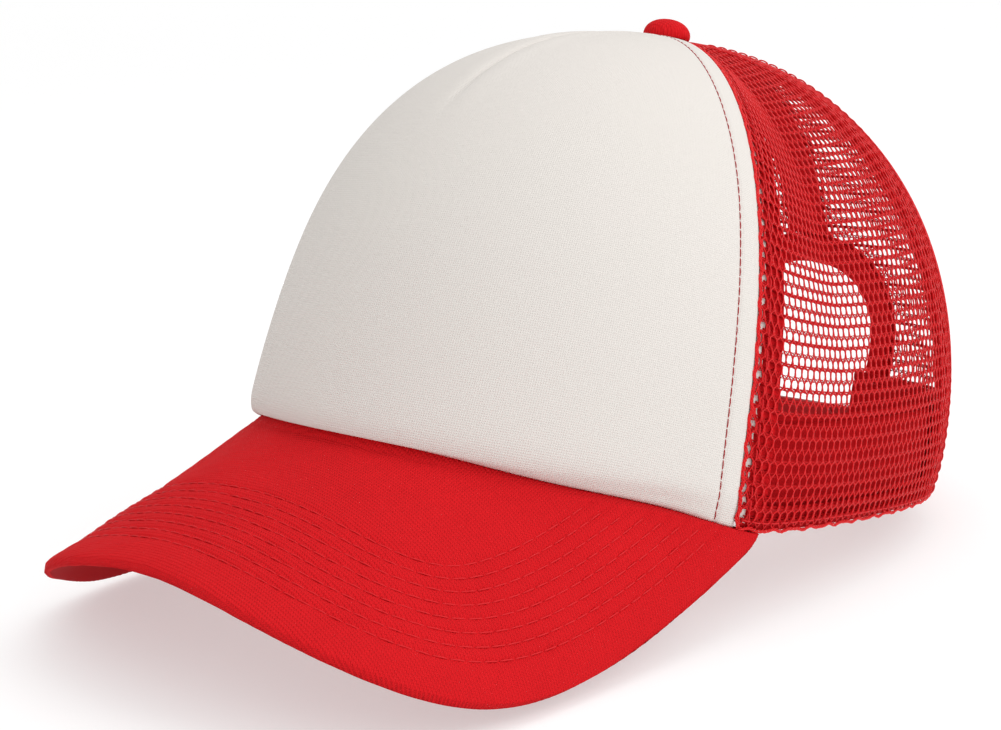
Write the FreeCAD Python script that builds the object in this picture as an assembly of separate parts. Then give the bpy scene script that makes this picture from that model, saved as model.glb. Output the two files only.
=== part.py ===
"""Trucker mesh cap: foam front panel, mesh sides and back, curved visor and a snap closure.

Millimetres. +Z is up, +X is the wearer's left and -Y is the wearer's front. The origin is the
centre of the head opening, in the plane of the crown's bottom edge at the sides and back.
Angles around the crown are in degrees, from 0 at the front to 180 at the back.
"""
import FreeCAD
import Part
import math
import os

# Crown: an oval base that rises in superelliptic meridians to one point under the button.
BASE_LENGTH = 209.0
FRONT_REACH = 100.7
HALF_WIDTH = 85.3
OVAL_POWER = 1.99
REAR_OVAL_POWER = 2.8
CROWN_HEIGHT = 128.1
APEX_BACK = 26.0
FRONT_POWER = (2.91, 3.54)
SIDE_POWER = 1.71
REAR_POWER = 2.12
UPRIGHT_REAR = 12.9
UPRIGHT_FRONT = 4.65
TUCK_REAR = 0.013
TUCK_FRONT = 0.034
FRONT_ARCH_RISE = 16.8
FRONT_ARCH_ANGLE = 71.6
ARCH_FADE_HEIGHT = 62.7
ARCH_BLEND = 0.06

# Seams between the five panels.
FRONT_SEAM_ANGLE = (65.5, -4.2, 4.5)
BACK_SEAM_ANGLE = 129.0
DART_START = 0.52
PANEL_TOP = 0.972

# Cloth, foam and plastic thicknesses, and the running gap between layers.
FACE_THICK = 0.7
FOAM_THICK = 2.4
FOAM_EDGE_THICK = 0.9
FOAM_EDGE_WIDTH = 9.0
MESH_THICK = 1.0
TAPE_THICK = 0.6
TAPE_WIDTH = 14.0
FRONT_TAPE_SHIFT = 3.3
LAYER_GAP = 0.15
SEAM_GAP = 0.3

# Sweatband.
BAND_HEIGHT = 28.5
BAND_LIFT = 1.0
PADDING_THICK = 1.0
BAND_CLOTH_THICK = 0.7
BAND_END_ANGLE = 166.5
BAND_BULGE_ANGLE = 137.0
BAND_REAR_BULGE = 3.4

# Half-moon opening at the back.
ARCH_HALF_WIDTH = 25.8
ARCH_HEIGHT = 64.7
ARCH_POWER = 2.2
ARCH_WIDEST = 40.0
ARCH_FOOT_HALF_WIDTH = 21.8
BINDING_WIDTH = 8.0
ARCH_SIDE_TURN = 0.62
BINDING_THICK = 0.7
BINDING_GAP = 0.25

# Visor.
VISOR_REACH = 154.9
VISOR_HALF_WIDTH = 86.2
VISOR_CURVE_POWERS = (0.678, 0.454)
VISOR_SLOPE = 26.8
VISOR_DROP = 52.1
VISOR_DROP_POWER = (2.86, -1.24)
VISOR_DROP_GROWTH = (-0.396, -0.209)
VISOR_LIFT = 1.44
VISOR_DROP_X = 83.6
VISOR_LENGTH = 73.2
VISOR_TUCK = 3.3
VISOR_GAP = 0.25
VISOR_END = 0.965
VISOR_CLOTH_THICK = 0.7
VISOR_BOARD_THICK = 1.8
BOARD_MARGIN = 0.02

# Snap closure: a strap with holes outside a strap with pegs.
STRAP_HEIGHT = 18.0
STRAP_LIFT = 0.8
STRAP_LEAN = 14.0
STRAP_THICK = 1.2
STRAP_GAP = 0.5
HOLE_STRAP_INSET = 2.2
ROOT_ALONG = 20.5
SEWN_END = 16.0
ROOT_CLEARANCE = 0.35
SNAP_PITCH = 7.1
SNAP_COUNT = 5
FIRST_SNAP = -14.0
TIP_MARGIN = 4.6
HOLE_RADIUS = 2.45
PEG_RADIUS = 1.75
PEG_STAND = 2.7

# Button.
BUTTON_RADIUS = 6.9
BUTTON_HEIGHT = 5.6
BUTTON_CLOTH_THICK = 0.6
POST_RADIUS = 1.4
BACKING_RADIUS = 8.0
BACKING_THICK = 0.8

MERIDIAN_STEPS = 160


def clamp(value, low, high):
    return max(low, min(high, value))


def smooth(value):
    value = clamp(value, 0.0, 1.0)
    return value * value * (3.0 - 2.0 * value)


def base_radius(angle):
    """Distance from the origin to the base oval, in the direction of that angle."""
    sine, cosine = math.sin(angle), math.cos(angle)
    reach = FRONT_REACH if cosine > 0 else BASE_LENGTH - FRONT_REACH
    power = OVAL_POWER if cosine > 0 else REAR_OVAL_POWER
    total = abs(sine / HALF_WIDTH) ** power + abs(cosine / reach) ** power
    return total ** (-1.0 / power)


def meridian_point(angle, height_share, radius):
    """Crown surface point; height_share runs from 0 at the bottom edge to 1 at the apex."""
    cosine = math.cos(angle)
    front = clamp(cosine, 0.0, 1.0) ** 1.5
    rear = clamp(-cosine, 0.0, 1.0)
    side = 1.0 - front - rear
    rest = REAR_POWER * rear + SIDE_POWER * side
    width_power = FRONT_POWER[0] * front + rest
    height_power = FRONT_POWER[1] * front + rest
    upright = UPRIGHT_FRONT * front + UPRIGHT_REAR * (1.0 - front)
    tuck = TUCK_FRONT * front + TUCK_REAR * (1.0 - front)
    fullest = radius / (1.0 - tuck)
    upright_share = clamp(upright / (CROWN_HEIGHT * 1.25), 0.02, 0.5)
    if height_share < upright_share:
        part = height_share / upright_share
        rho = fullest * (1.0 - tuck * (1.0 - part) ** 2)
        z = upright * part
    else:
        turn = (height_share - upright_share) / (1.0 - upright_share) * math.pi / 2
        rho = fullest * max(math.cos(turn), 0.0) ** (2.0 / width_power)
        z = upright + (CROWN_HEIGHT - upright) * math.sin(turn) ** (2.0 / height_power)
    limit = math.cos(math.radians(FRONT_ARCH_ANGLE))
    ahead = (cosine - limit) / (1.0 - limit)
    arch = FRONT_ARCH_RISE * (ahead + math.hypot(ahead, ARCH_BLEND)) / 2.0
    z_up = z + arch * clamp(1.0 - z / ARCH_FADE_HEIGHT, 0.0, 1.0) ** 2
    x = rho * math.sin(angle)
    y = -rho * math.cos(angle) + APEX_BACK * z / CROWN_HEIGHT
    return FreeCAD.Vector(x, y, z_up)


_meridians = {}


def meridian(angle):
    """Points up one meridian and the share of its length at each, kept for the next call."""
    key = round(angle, 7)
    if key not in _meridians:
        radius = base_radius(angle)
        points = []
        for step in range(MERIDIAN_STEPS + 1):
            share = step / MERIDIAN_STEPS
            eased = 0.5 * share * share + 0.5 * share
            points.append(meridian_point(angle, eased, radius))
        lengths = [0.0]
        for first, second in zip(points, points[1:]):
            lengths.append(lengths[-1] + (second - first).Length)
        _meridians[key] = (points, [length / lengths[-1] for length in lengths])
    return _meridians[key]


def surface(angle, rise):
    """Outer crown surface at an angle in radians; rise is the share of the meridian's length."""
    points, shares = meridian(angle)
    low, high = 0, MERIDIAN_STEPS
    rise = clamp(rise, 0.0, 1.0)
    while high - low > 1:
        middle = (low + high) // 2
        if shares[middle] <= rise:
            low = middle
        else:
            high = middle
    part = (rise - shares[low]) / (shares[high] - shares[low])
    return points[low] + (points[high] - points[low]) * part


def inward(angle, rise):
    """Unit normal of the crown towards the head."""
    delta = 0.01
    rise = clamp(rise, 0.004, 0.985)
    across = surface(angle + delta, rise) - surface(angle - delta, rise)
    up = surface(angle, rise + delta) - surface(angle, max(rise - delta, 0.0))
    normal = up.cross(across)
    return normal.normalize()


def crown(angle, rise, inset=0.0):
    """Crown point moved inwards by inset, at an angle in degrees."""
    turned = math.radians(angle)
    point = surface(turned, rise)
    if inset == 0.0:
        return point
    return point + inward(turned, rise) * inset


def front_seam(rise):
    return FRONT_SEAM_ANGLE[0] + FRONT_SEAM_ANGLE[1] * rise + FRONT_SEAM_ANGLE[2] * rise * rise


def ring_radius(angle, rise):
    """Distance from the crown's slanting axis, which turns widths into angles."""
    point = surface(math.radians(angle), rise)
    axis_y = APEX_BACK * point.z / CROWN_HEIGHT
    return max(math.hypot(point.x, point.y - axis_y), 0.5)


def degrees_of(width, angle, rise):
    return math.degrees(width / ring_radius(angle, rise))


def foam_thickness(angle, rise):
    """The foam is pressed thin where it is sewn into the front seams."""
    from_seam = math.radians(front_seam(rise) - abs(angle)) * ring_radius(angle, rise)
    return FOAM_EDGE_THICK + (FOAM_THICK - FOAM_EDGE_THICK) * smooth(from_seam / FOAM_EDGE_WIDTH)


def wall_thickness(angle, rise):
    """Everything between the outer surface and the tapes: face and foam in front, mesh elsewhere."""
    if abs(angle) > front_seam(rise):
        beyond = math.radians(abs(angle) - front_seam(rise)) * ring_radius(angle, rise)
        edge = FACE_THICK + FOAM_EDGE_THICK
        return edge + (MESH_THICK - edge) * smooth(beyond / FOAM_EDGE_WIDTH)
    return FACE_THICK + foam_thickness(angle, rise)


def spaced(first, last, count):
    return [first + (last - first) * index / (count - 1) for index in range(count)]


def interpolated(grid):
    """Smooth surface through a grid of points."""
    patch = Part.BSplineSurface()
    patch.interpolate(grid)
    return patch


def edge_curves(patch):
    u_first, u_last, v_first, v_last = patch.bounds()
    return [
        patch.uIso(u_first),
        patch.vIso(v_last),
        patch.uIso(u_last),
        patch.vIso(v_first),
    ]


def patch_solid(outer_grid, inner_grid):
    """Closed solid between two matching surface patches, with ruled side faces."""
    outer = interpolated(outer_grid)
    inner = interpolated(inner_grid)
    faces = [outer.toShape(), inner.toShape()]
    for above, below in zip(edge_curves(outer), edge_curves(inner)):
        faces.append(Part.makeRuledSurface(above.toShape(), below.toShape()))
    return sewn(faces)


def sewn(faces):
    shell = Part.makeShell(faces)
    shell.sewShape()
    solid = Part.makeSolid(shell)
    if solid.Volume < 0:
        solid.reverse()
    return solid


def layer(place, columns, rows, top_inset, bottom_inset):
    """Patch solid from place(column, row, inset); each inset is a function of column and row."""
    outer = [[place(u, v, top_inset(u, v)) for v in rows] for u in columns]
    inner = [[place(u, v, bottom_inset(u, v)) for v in rows] for u in columns]
    return patch_solid(outer, inner)


def rises(first=0.0, last=PANEL_TOP):
    """Rows up a panel, closer together near the bottom edge."""
    return [first + (last - first) * step ** 1.5 for step in spaced(0.0, 1.0, 21)]


# ---- Front panel ----

def seam_margin(angle, rise):
    return degrees_of(SEAM_GAP / 2, angle, rise)


def front_place(share, rise, inset):
    limit = front_seam(rise) - seam_margin(front_seam(rise), rise)
    return crown(share * limit, rise, inset)


def front_angle(share, rise):
    return share * (front_seam(rise) - seam_margin(front_seam(rise), rise))


def front_shares():
    """Columns across the front panel, closer together towards its two seams."""
    return [math.sin(turn) for turn in spaced(-math.pi / 2, math.pi / 2, 25)]


def front_panel_fabric():
    return layer(front_place, front_shares(), rises(), lambda u, v: 0.0, lambda u, v: FACE_THICK)


def front_panel_foam():
    top = FACE_THICK + LAYER_GAP / 2
    return layer(
        front_place,
        front_shares(),
        rises(),
        lambda u, v: top,
        lambda u, v: FACE_THICK + foam_thickness(front_angle(u, v), v),
    )


# ---- Mesh panels ----

def side_mesh(side):
    def place(share, rise, inset):
        first = front_seam(rise) + seam_margin(front_seam(rise), rise)
        last = BACK_SEAM_ANGLE - seam_margin(BACK_SEAM_ANGLE, rise)
        return crown(side * (first + (last - first) * share), rise, inset)

    shares = spaced(0.0, 1.0, 15)
    return layer(place, shares, rises(), lambda u, v: 0.0, lambda u, v: MESH_THICK)


def arch_point(turn, extra=0.0):
    """Point of the arch outline in the XZ plane, turn from 0 at the left foot to pi at the right.

    The sides draw in below the widest height, where the fastened straps pull them together.
    """
    cosine, sine = math.cos(turn), math.sin(turn)
    wide = ARCH_HALF_WIDTH + extra
    if abs(cosine) < math.cos(ARCH_SIDE_TURN):
        upper = (math.pi / 2 - abs(turn - math.pi / 2) - ARCH_SIDE_TURN) / (math.pi / 2 - ARCH_SIDE_TURN)
        swing = upper * math.pi / 2
        x = wide * math.cos(swing) ** (2.0 / ARCH_POWER)
        z = ARCH_WIDEST + (ARCH_HEIGHT + extra - ARCH_WIDEST) * math.sin(swing) ** (2.0 / ARCH_POWER)
    else:
        part = (math.pi / 2 - abs(turn - math.pi / 2)) / ARCH_SIDE_TURN
        z = ARCH_WIDEST * part
        foot = ARCH_FOOT_HALF_WIDTH + extra
        x = foot + (wide - foot) * smooth(part)
    return math.copysign(x, cosine), z


def arch_cutter():
    """Prism through the back wall with the half-moon outline."""
    below = -10.0
    near, far = 40.0, 140.0
    turns = spaced(0.0, math.pi, 49)
    points = [FreeCAD.Vector(x, near, z) for x, z in (arch_point(turn) for turn in turns)]
    curve = Part.BSplineCurve()
    curve.interpolate(points)
    left, right = points[0], points[-1]
    left_low = FreeCAD.Vector(left.x, near, below)
    right_low = FreeCAD.Vector(right.x, near, below)
    outline = Part.Wire(
        [
            curve.toShape(),
            Part.makeLine(right, right_low),
            Part.makeLine(right_low, left_low),
            Part.makeLine(left_low, left),
        ]
    )
    return Part.Face(outline).extrude(FreeCAD.Vector(0, far - near, 0))


def back_mesh(side):
    def place(share, rise, inset):
        first = BACK_SEAM_ANGLE + seam_margin(BACK_SEAM_ANGLE, rise)
        last = 180.0 - seam_margin(180.0, rise)
        return crown(side * (first + (last - first) * share), rise, inset)

    shares = spaced(0.0, 1.0, 15)
    whole = layer(place, shares, rises(), lambda u, v: 0.0, lambda u, v: MESH_THICK)
    return whole.cut(arch_cutter()).Solids[0]


# ---- Tapes over the seams, inside ----

def tape_half_angle(angle, rise):
    return min(degrees_of(TAPE_WIDTH / 2, angle, rise), 26.0)


def seam_tape(seam_angle, first_rise, last_rise):
    """Tape centred on a seam; seam_angle is a function of rise."""

    def place(share, rise, inset):
        middle = seam_angle(rise)
        return crown(middle + share * tape_half_angle(middle, rise), rise, inset)

    def top(share, rise):
        middle = seam_angle(rise)
        here = middle + share * tape_half_angle(middle, rise)
        return wall_thickness(here, rise) + LAYER_GAP

    shares = spaced(-1.0, 1.0, 9)
    rows = rises(first_rise, last_rise)
    return layer(place, shares, rows, top, lambda u, v: top(u, v) + TAPE_THICK)


TAPE_START = 0.012
TAPE_END = 0.925


def front_seam_tape(side):
    """Covers both folded edges, so it reaches further over the mesh than over the foam."""

    def middle(rise):
        seam = front_seam(rise)
        shift = FRONT_TAPE_SHIFT * (1.0 - smooth((rise - 0.7) / 0.2))
        return side * (seam + degrees_of(shift, seam, rise))

    return seam_tape(middle, TAPE_START, TAPE_END)


def back_seam_tape(side):
    return seam_tape(lambda rise: side * BACK_SEAM_ANGLE, TAPE_START, TAPE_END)


def rise_at_height(angle, height):
    low, high = 0.0, 1.0
    while high - low > 1e-5:
        middle = (low + high) / 2
        if crown(angle, middle).z < height:
            low = middle
        else:
            high = middle
    return low


def centre_back_tape():
    start = rise_at_height(180.0, ARCH_HEIGHT + BINDING_WIDTH + 1.0)
    return seam_tape(lambda rise: 180.0, start, TAPE_END)


def front_dart_tape():
    return seam_tape(lambda rise: 0.0, DART_START, TAPE_END)


# ---- Binding around the half-moon opening ----

def rear_place(x, z, inset):
    """Point of the back wall with that x and z on the outer surface, moved inwards by inset."""
    angle = 180.0 - math.degrees(math.asin(clamp(x / HALF_WIDTH, -1.0, 1.0)))
    rise = 0.0
    for _ in range(12):
        rise = rise_at_height(angle, z)
        radius = ring_radius(angle, rise)
        angle = 180.0 - math.degrees(math.asin(clamp(x / radius, -0.99, 0.99)))
    return crown(angle, rise, inset)


def arch_binding():
    """Folded tape: one leg outside the mesh and one inside, joined round the mesh's cut edge."""
    out_top = -BINDING_THICK - BINDING_GAP
    out_low = -BINDING_GAP
    in_top = MESH_THICK + BINDING_GAP
    in_low = MESH_THICK + BINDING_GAP + BINDING_THICK
    edge = -BINDING_THICK - BINDING_GAP
    section = [
        (BINDING_WIDTH, out_top),
        (edge, out_top),
        (edge, in_low),
        (BINDING_WIDTH, in_low),
        (BINDING_WIDTH, in_top),
        (-BINDING_GAP, in_top),
        (-BINDING_GAP, out_low),
        (BINDING_WIDTH, out_low),
    ]
    foot = 0.02
    turns = spaced(foot, math.pi - foot, 49)
    rails = []
    for extra, inset in section:
        points = []
        for turn in turns:
            x, z = arch_point(turn, extra)
            points.append(rear_place(x, z, inset))
        curve = Part.BSplineCurve()
        curve.interpolate(points)
        rails.append(curve.toShape())
    count = len(rails)
    faces = [Part.makeRuledSurface(rails[i], rails[(i + 1) % count]) for i in range(count)]
    for end in (0, -1):
        corners = [rail.Vertexes[end].Point for rail in rails]
        for quad in ((0, 1, 6, 7), (1, 2, 5, 6), (2, 3, 4, 5)):
            loop = Part.makePolygon([corners[i] for i in quad] + [corners[quad[0]]])
            faces.append(Part.makeFilledFace(loop.Edges))
    return sewn(faces)


# ---- Sweatband ----

def band_inset(angle):
    """Clears foam and tape in front, mesh and tape at the sides, and the strap ends at the back."""
    front = FACE_THICK + FOAM_THICK + TAPE_THICK + 3 * LAYER_GAP
    rest = MESH_THICK + FOAM_EDGE_THICK + TAPE_THICK + 3 * LAYER_GAP
    over_straps = BAND_REAR_BULGE * smooth((abs(angle) - BAND_BULGE_ANGLE) / 15.0)
    return rest + (front - rest) * smooth((74.0 - abs(angle)) / 16.0) + over_straps


def band_strip(gap, thick, low, high):
    """Strip along the inside of the bottom edge, between two heights above that edge."""

    def place(angle, height, inset):
        rise = rise_at_height(angle, crown(angle, 0.0).z + height)
        return crown(angle, rise, inset)

    angles = spaced(-BAND_END_ANGLE, BAND_END_ANGLE, 65)
    heights = spaced(low, high, 5)
    return layer(
        place,
        angles,
        heights,
        lambda u, v: band_inset(u) + gap,
        lambda u, v: band_inset(u) + gap + thick,
    )


def sweatband_padding():
    return band_strip(0.0, PADDING_THICK, BAND_LIFT + 2.0, BAND_LIFT + BAND_HEIGHT - 2.0)


def sweatband_cloth():
    gap = PADDING_THICK + LAYER_GAP
    return band_strip(gap, BAND_CLOTH_THICK, BAND_LIFT, BAND_LIFT + BAND_HEIGHT)


# ---- Visor ----

def visor_base(angle, tuck):
    """Where the visor meets the crown; tuck carries it in under the front panel's edge."""
    return crown(angle, 0.0, tuck) - FreeCAD.Vector(0, 0, VISOR_GAP)


def visor_outline(share):
    """Outer edge of the visor seen from above; share runs from -1 to 1 between the corners."""
    corner = crown(FRONT_ARCH_ANGLE, 0.0)
    turn = share * math.pi / 2
    side = abs(math.sin(turn))
    spread = VISOR_HALF_WIDTH * side ** VISOR_CURVE_POWERS[0]
    spread += (corner.x - VISOR_HALF_WIDTH) * side ** 8
    y = corner.y - (VISOR_REACH + corner.y) * abs(math.cos(turn)) ** VISOR_CURVE_POWERS[1]
    return math.copysign(spread, share), y


def visor_height(x, y):
    ahead = (-FRONT_REACH - y) / VISOR_LENGTH
    power = VISOR_DROP_POWER[0] + VISOR_DROP_POWER[1] * ahead
    growth = 1.0 + VISOR_DROP_GROWTH[0] * ahead + VISOR_DROP_GROWTH[1] * ahead * ahead
    drop = VISOR_DROP * growth * (abs(x) / VISOR_DROP_X) ** power
    slope = math.tan(math.radians(VISOR_SLOPE)) * VISOR_LENGTH * ahead
    return FRONT_ARCH_RISE - drop - slope + VISOR_LIFT * ahead * ahead


def visor_surface(share, out):
    """Top of the visor; out runs from 0 at the crown to 1 at the outer edge, below 0 under it."""
    angle = share * FRONT_ARCH_ANGLE
    base = visor_base(angle, 0.0)
    outer_x, outer_y = visor_outline(share)
    if out < 0.0:
        return visor_base(angle, -out * VISOR_TUCK)
    x = base.x * (1.0 - out) + outer_x * out
    y = base.y * (1.0 - out) + outer_y * out
    match = base.z - visor_height(base.x, base.y)
    z = visor_height(x, y) + match * (1.0 - out) ** 2
    return FreeCAD.Vector(x, y, z)


def visor_place(share, out, inset):
    point = visor_surface(share, out)
    if inset == 0.0:
        return point
    delta = 0.01
    near = clamp(out, delta, 1.0 - delta)
    across = visor_surface(share + delta, near) - visor_surface(share - delta, near)
    along = visor_surface(share, near + delta) - visor_surface(share, near - delta)
    down = across.cross(along)
    down.normalize()
    if down.z > 0:
        down = down * -1.0
    return point + down * inset


def visor_layer(top, thick, margin):
    end = VISOR_END - margin
    shares = [math.copysign(abs(step) ** 0.9, step) * end for step in spaced(-1.0, 1.0, 27)]
    outs = [-1.0, -0.5] + spaced(0.0, 1.0 - margin, 10)
    return layer(visor_place, shares, outs, lambda u, v: top, lambda u, v: top + thick)


def visor_top_fabric():
    return visor_layer(0.0, VISOR_CLOTH_THICK, 0.0)


def visor_board():
    top = VISOR_CLOTH_THICK + LAYER_GAP
    return visor_layer(top, VISOR_BOARD_THICK, BOARD_MARGIN)


def visor_under_fabric():
    top = VISOR_CLOTH_THICK + VISOR_BOARD_THICK + 2 * LAYER_GAP
    return visor_layer(top, VISOR_CLOTH_THICK, 0.0)


# ---- Button on top ----

def revolved(profile):
    """Solid turned about the button's upright axis; profile is (radius, height) pairs."""
    points = [FreeCAD.Vector(radius, APEX_BACK, height) for radius, height in profile]
    face = Part.Face(Part.makePolygon(points + [points[0]]))
    return face.revolve(FreeCAD.Vector(0, APEX_BACK, 0), FreeCAD.Vector(0, 0, 1), 360)


def dome(radius, low, high, hollow=None):
    """Dome profile with a rounded rim; hollow gives an inner dome's radius and top."""
    turns = spaced(0.0, math.pi / 2, 9)
    outer = []
    for turn in turns:
        rho = radius * math.cos(turn) ** 0.8
        outer.append((rho if turn < 1.57 else 0.0, low + (high - low) * math.sin(turn) ** 0.8))
    if hollow is None:
        return outer + [(0.0, low)]
    inner_radius, inner_high = hollow
    inner = []
    for turn in reversed(turns):
        rho = inner_radius * math.cos(turn) ** 0.8
        inner.append((rho if turn < 1.57 else 0.0, low + (inner_high - low) * math.sin(turn) ** 0.8))
    return outer + inner


BUTTON_SEAT = CROWN_HEIGHT + 0.15


def button_cover():
    inner = (BUTTON_RADIUS - BUTTON_CLOTH_THICK, BUTTON_SEAT + BUTTON_HEIGHT - BUTTON_CLOTH_THICK)
    return revolved(dome(BUTTON_RADIUS, BUTTON_SEAT, BUTTON_SEAT + BUTTON_HEIGHT, inner))


def button_shell():
    radius = BUTTON_RADIUS - BUTTON_CLOTH_THICK - LAYER_GAP
    top = BUTTON_SEAT + BUTTON_HEIGHT - BUTTON_CLOTH_THICK - LAYER_GAP
    return revolved(dome(radius, BUTTON_SEAT, top, (radius - 0.5, top - 0.5)))


def backing_top():
    """Just under the panels and tapes at the backing disc's rim."""
    lowest = BUTTON_SEAT
    for angle in (0.0, 61.0, 122.0, 180.0):
        rise = PANEL_TOP
        while ring_radius(angle, rise) < BACKING_RADIUS:
            rise -= 0.002
        inset = wall_thickness(angle, rise) + LAYER_GAP
        lowest = min(lowest, crown(angle, rise, inset).z)
    return lowest - LAYER_GAP


def button_backing():
    top = backing_top()
    place = FreeCAD.Vector(0, APEX_BACK, top - BACKING_THICK)
    disc = Part.makeCylinder(BACKING_RADIUS, BACKING_THICK, place)
    return disc.cut(Part.makeCylinder(POST_RADIUS + 0.1, 5.0, place - FreeCAD.Vector(0, 0, 2)))


def button_post():
    """Rivet from inside the button through the panels, with its head under the backing disc."""
    low = backing_top() - BACKING_THICK - LAYER_GAP
    head = Part.makeCylinder(3.0, 0.9, FreeCAD.Vector(0, APEX_BACK, low - 0.9))
    top = BUTTON_SEAT + BUTTON_HEIGHT - BUTTON_CLOTH_THICK - 0.9
    shaft = Part.makeCylinder(POST_RADIUS, top - low, FreeCAD.Vector(0, APEX_BACK, low))
    return head.fuse(shaft).removeSplitter()


# ---- Snap closure ----

def base_run():
    """Length along the bottom edge from the centre back, as (angle, length) pairs."""
    run = [(180.0, 0.0)]
    steps = 400
    for step in range(1, steps + 1):
        angle = 180.0 - 60.0 * step / steps
        moved = crown(angle, 0.0) - crown(run[-1][0], 0.0)
        run.append((angle, run[-1][1] + moved.Length))
    return run


BASE_RUN = base_run()


def angle_along(along):
    """Crown angle at a length along the bottom edge from the centre back; positive is left."""
    distance = abs(along)
    for (first, start), (second, end) in zip(BASE_RUN, BASE_RUN[1:]):
        if end >= distance:
            angle = first + (second - first) * (distance - start) / (end - start)
            return math.copysign(angle, along)
    return math.copysign(BASE_RUN[-1][0], along)


def strap_up():
    """The straps lean outwards with the back wall."""
    lean = math.radians(STRAP_LEAN)
    return FreeCAD.Vector(0.0, math.sin(lean), math.cos(lean))


def strap_frame(along, inset):
    """Point under the strap on the bottom edge's line moved inwards, its inward and its long direction."""
    angle = angle_along(along)
    point = crown(angle, 0.0)
    normal = inward(math.radians(angle), 0.0)
    flat = FreeCAD.Vector(normal.x, normal.y, 0.0).normalize()
    tangent = FreeCAD.Vector(0, 0, 1).cross(flat)
    if tangent.x < 0:
        tangent = tangent * -1.0
    start = FreeCAD.Vector(point.x, point.y, 0.0) + flat * inset
    return start, tangent.cross(strap_up()).normalize(), tangent


def strap_blank(first, last, inset, round_first, round_last):
    """Upright curved strap of constant height from one length along the edge to another."""
    count = 15
    outer, inner = [], []
    for along in spaced(first, last, count):
        outer.append(strap_frame(along, inset)[0])
        inner.append(strap_frame(along, inset + STRAP_THICK)[0])
    lift = strap_up() * STRAP_LIFT
    curves = []
    for points in (outer, inner):
        curve = Part.BSplineCurve()
        curve.interpolate([point + lift for point in points])
        curves.append(curve.toShape())
    ends = []
    for index, along, rounded in ((0, first, round_first), (-1, last, round_last)):
        start, stop = outer[index] + lift, inner[index] + lift
        if not rounded:
            ends.append(Part.makeLine(start, stop))
            continue
        outwards = strap_frame(along, inset)[2] * (1.0 if index == -1 else -1.0)
        crest = (start + stop) * 0.5 + outwards * (STRAP_THICK / 2)
        ends.append(Part.Arc(start, crest, stop).toShape())
    wire = Part.Wire(Part.__sortEdges__([curves[0], ends[1], curves[1], ends[0]]))
    return Part.Face(wire).extrude(strap_up() * STRAP_HEIGHT)


def tip_trimmed(strap, along, inset, facing):
    """Rounds the two corners of a strap's free tip with a level cylinder across the strap."""
    centre, flat, tangent = strap_frame(along - facing * STRAP_HEIGHT / 2, inset)
    middle = centre + strap_up() * (STRAP_LIFT + STRAP_HEIGHT / 2)
    radius = STRAP_HEIGHT / 2
    start = middle - flat * 8.0
    keep = Part.makeCylinder(radius, 20.0, start, flat)
    corner = strap_up() * -radius
    side = tangent * facing
    block_face = Part.makePolygon(
        [
            start + corner,
            start + corner + side * 14.0,
            start - corner + side * 14.0,
            start - corner,
            start + corner,
        ]
    )
    block = Part.Face(block_face).extrude(flat * 20.0)
    return strap.cut(block.cut(keep))


def snap_places():
    return [FIRST_SNAP + SNAP_PITCH * index for index in range(SNAP_COUNT)]


def hole_strap():
    inset = HOLE_STRAP_INSET
    tip = FIRST_SNAP - TIP_MARGIN
    strap = strap_blank(tip, ROOT_ALONG, inset, False, True)
    strap = tip_trimmed(strap, tip, inset, -1.0)
    for along in snap_places():
        centre, flat, _ = strap_frame(along, inset)
        centre = centre + strap_up() * (STRAP_LIFT + STRAP_HEIGHT / 2)
        strap = strap.cut(Part.makeCylinder(HOLE_RADIUS, 8.0, centre - flat * 3.0, flat))
    return strap


def peg_inset():
    return HOLE_STRAP_INSET + STRAP_THICK + STRAP_GAP


def peg_strap():
    """Inner strap; its pegs stand outwards through the holes and have domed ends."""
    inset = peg_inset()
    last_peg = FIRST_SNAP + SNAP_PITCH * (SNAP_COUNT - 1)
    tip = last_peg + TIP_MARGIN
    strap = strap_blank(-ROOT_ALONG, tip, inset, True, False)
    strap = tip_trimmed(strap, tip, inset, 1.0)
    for index in range(SNAP_COUNT):
        along = last_peg - SNAP_PITCH * index
        centre, flat, _ = strap_frame(along, inset)
        centre = centre + strap_up() * (STRAP_LIFT + STRAP_HEIGHT / 2)
        neck = PEG_STAND - PEG_RADIUS
        shaft = Part.makeCylinder(PEG_RADIUS, neck + 0.6, centre + flat * 0.6, flat * -1.0)
        end = centre - flat * neck
        strap = strap.fuse(shaft).fuse(Part.makeSphere(PEG_RADIUS, end))
    return strap.removeSplitter()


def sewn_end(side, inset):
    """The end of a strap that is sewn in between the mesh and the sweatband."""
    start = side * (ROOT_ALONG + STRAP_THICK / 2 + ROOT_CLEARANCE)
    stop = side * (ROOT_ALONG + SEWN_END)
    return strap_blank(min(start, stop), max(start, stop), inset, False, False)


def nodes():
    shapes = {
        "front_panel_fabric": front_panel_fabric(),
        "front_panel_foam": front_panel_foam(),
        "centre_back_seam_tape": centre_back_tape(),
        "front_dart_seam_tape": front_dart_tape(),
        "arch_binding": arch_binding(),
        "sweatband_padding": sweatband_padding(),
        "sweatband_cloth": sweatband_cloth(),
        "visor_top_fabric": visor_top_fabric(),
        "visor_board": visor_board(),
        "visor_under_fabric": visor_under_fabric(),
        "button_cover": button_cover(),
        "button_shell": button_shell(),
        "button_post": button_post(),
        "button_backing": button_backing(),
        "hole_strap": hole_strap(),
        "peg_strap": peg_strap(),
        "hole_strap_sewn_end": sewn_end(1.0, HOLE_STRAP_INSET),
        "peg_strap_sewn_end": sewn_end(-1.0, peg_inset()),
    }
    for name, side in (("left", 1.0), ("right", -1.0)):
        shapes[name + "_side_mesh"] = side_mesh(side)
        shapes[name + "_back_mesh"] = back_mesh(side)
        shapes[name + "_front_seam_tape"] = front_seam_tape(side)
        shapes[name + "_back_seam_tape"] = back_seam_tape(side)
    return shapes


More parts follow.
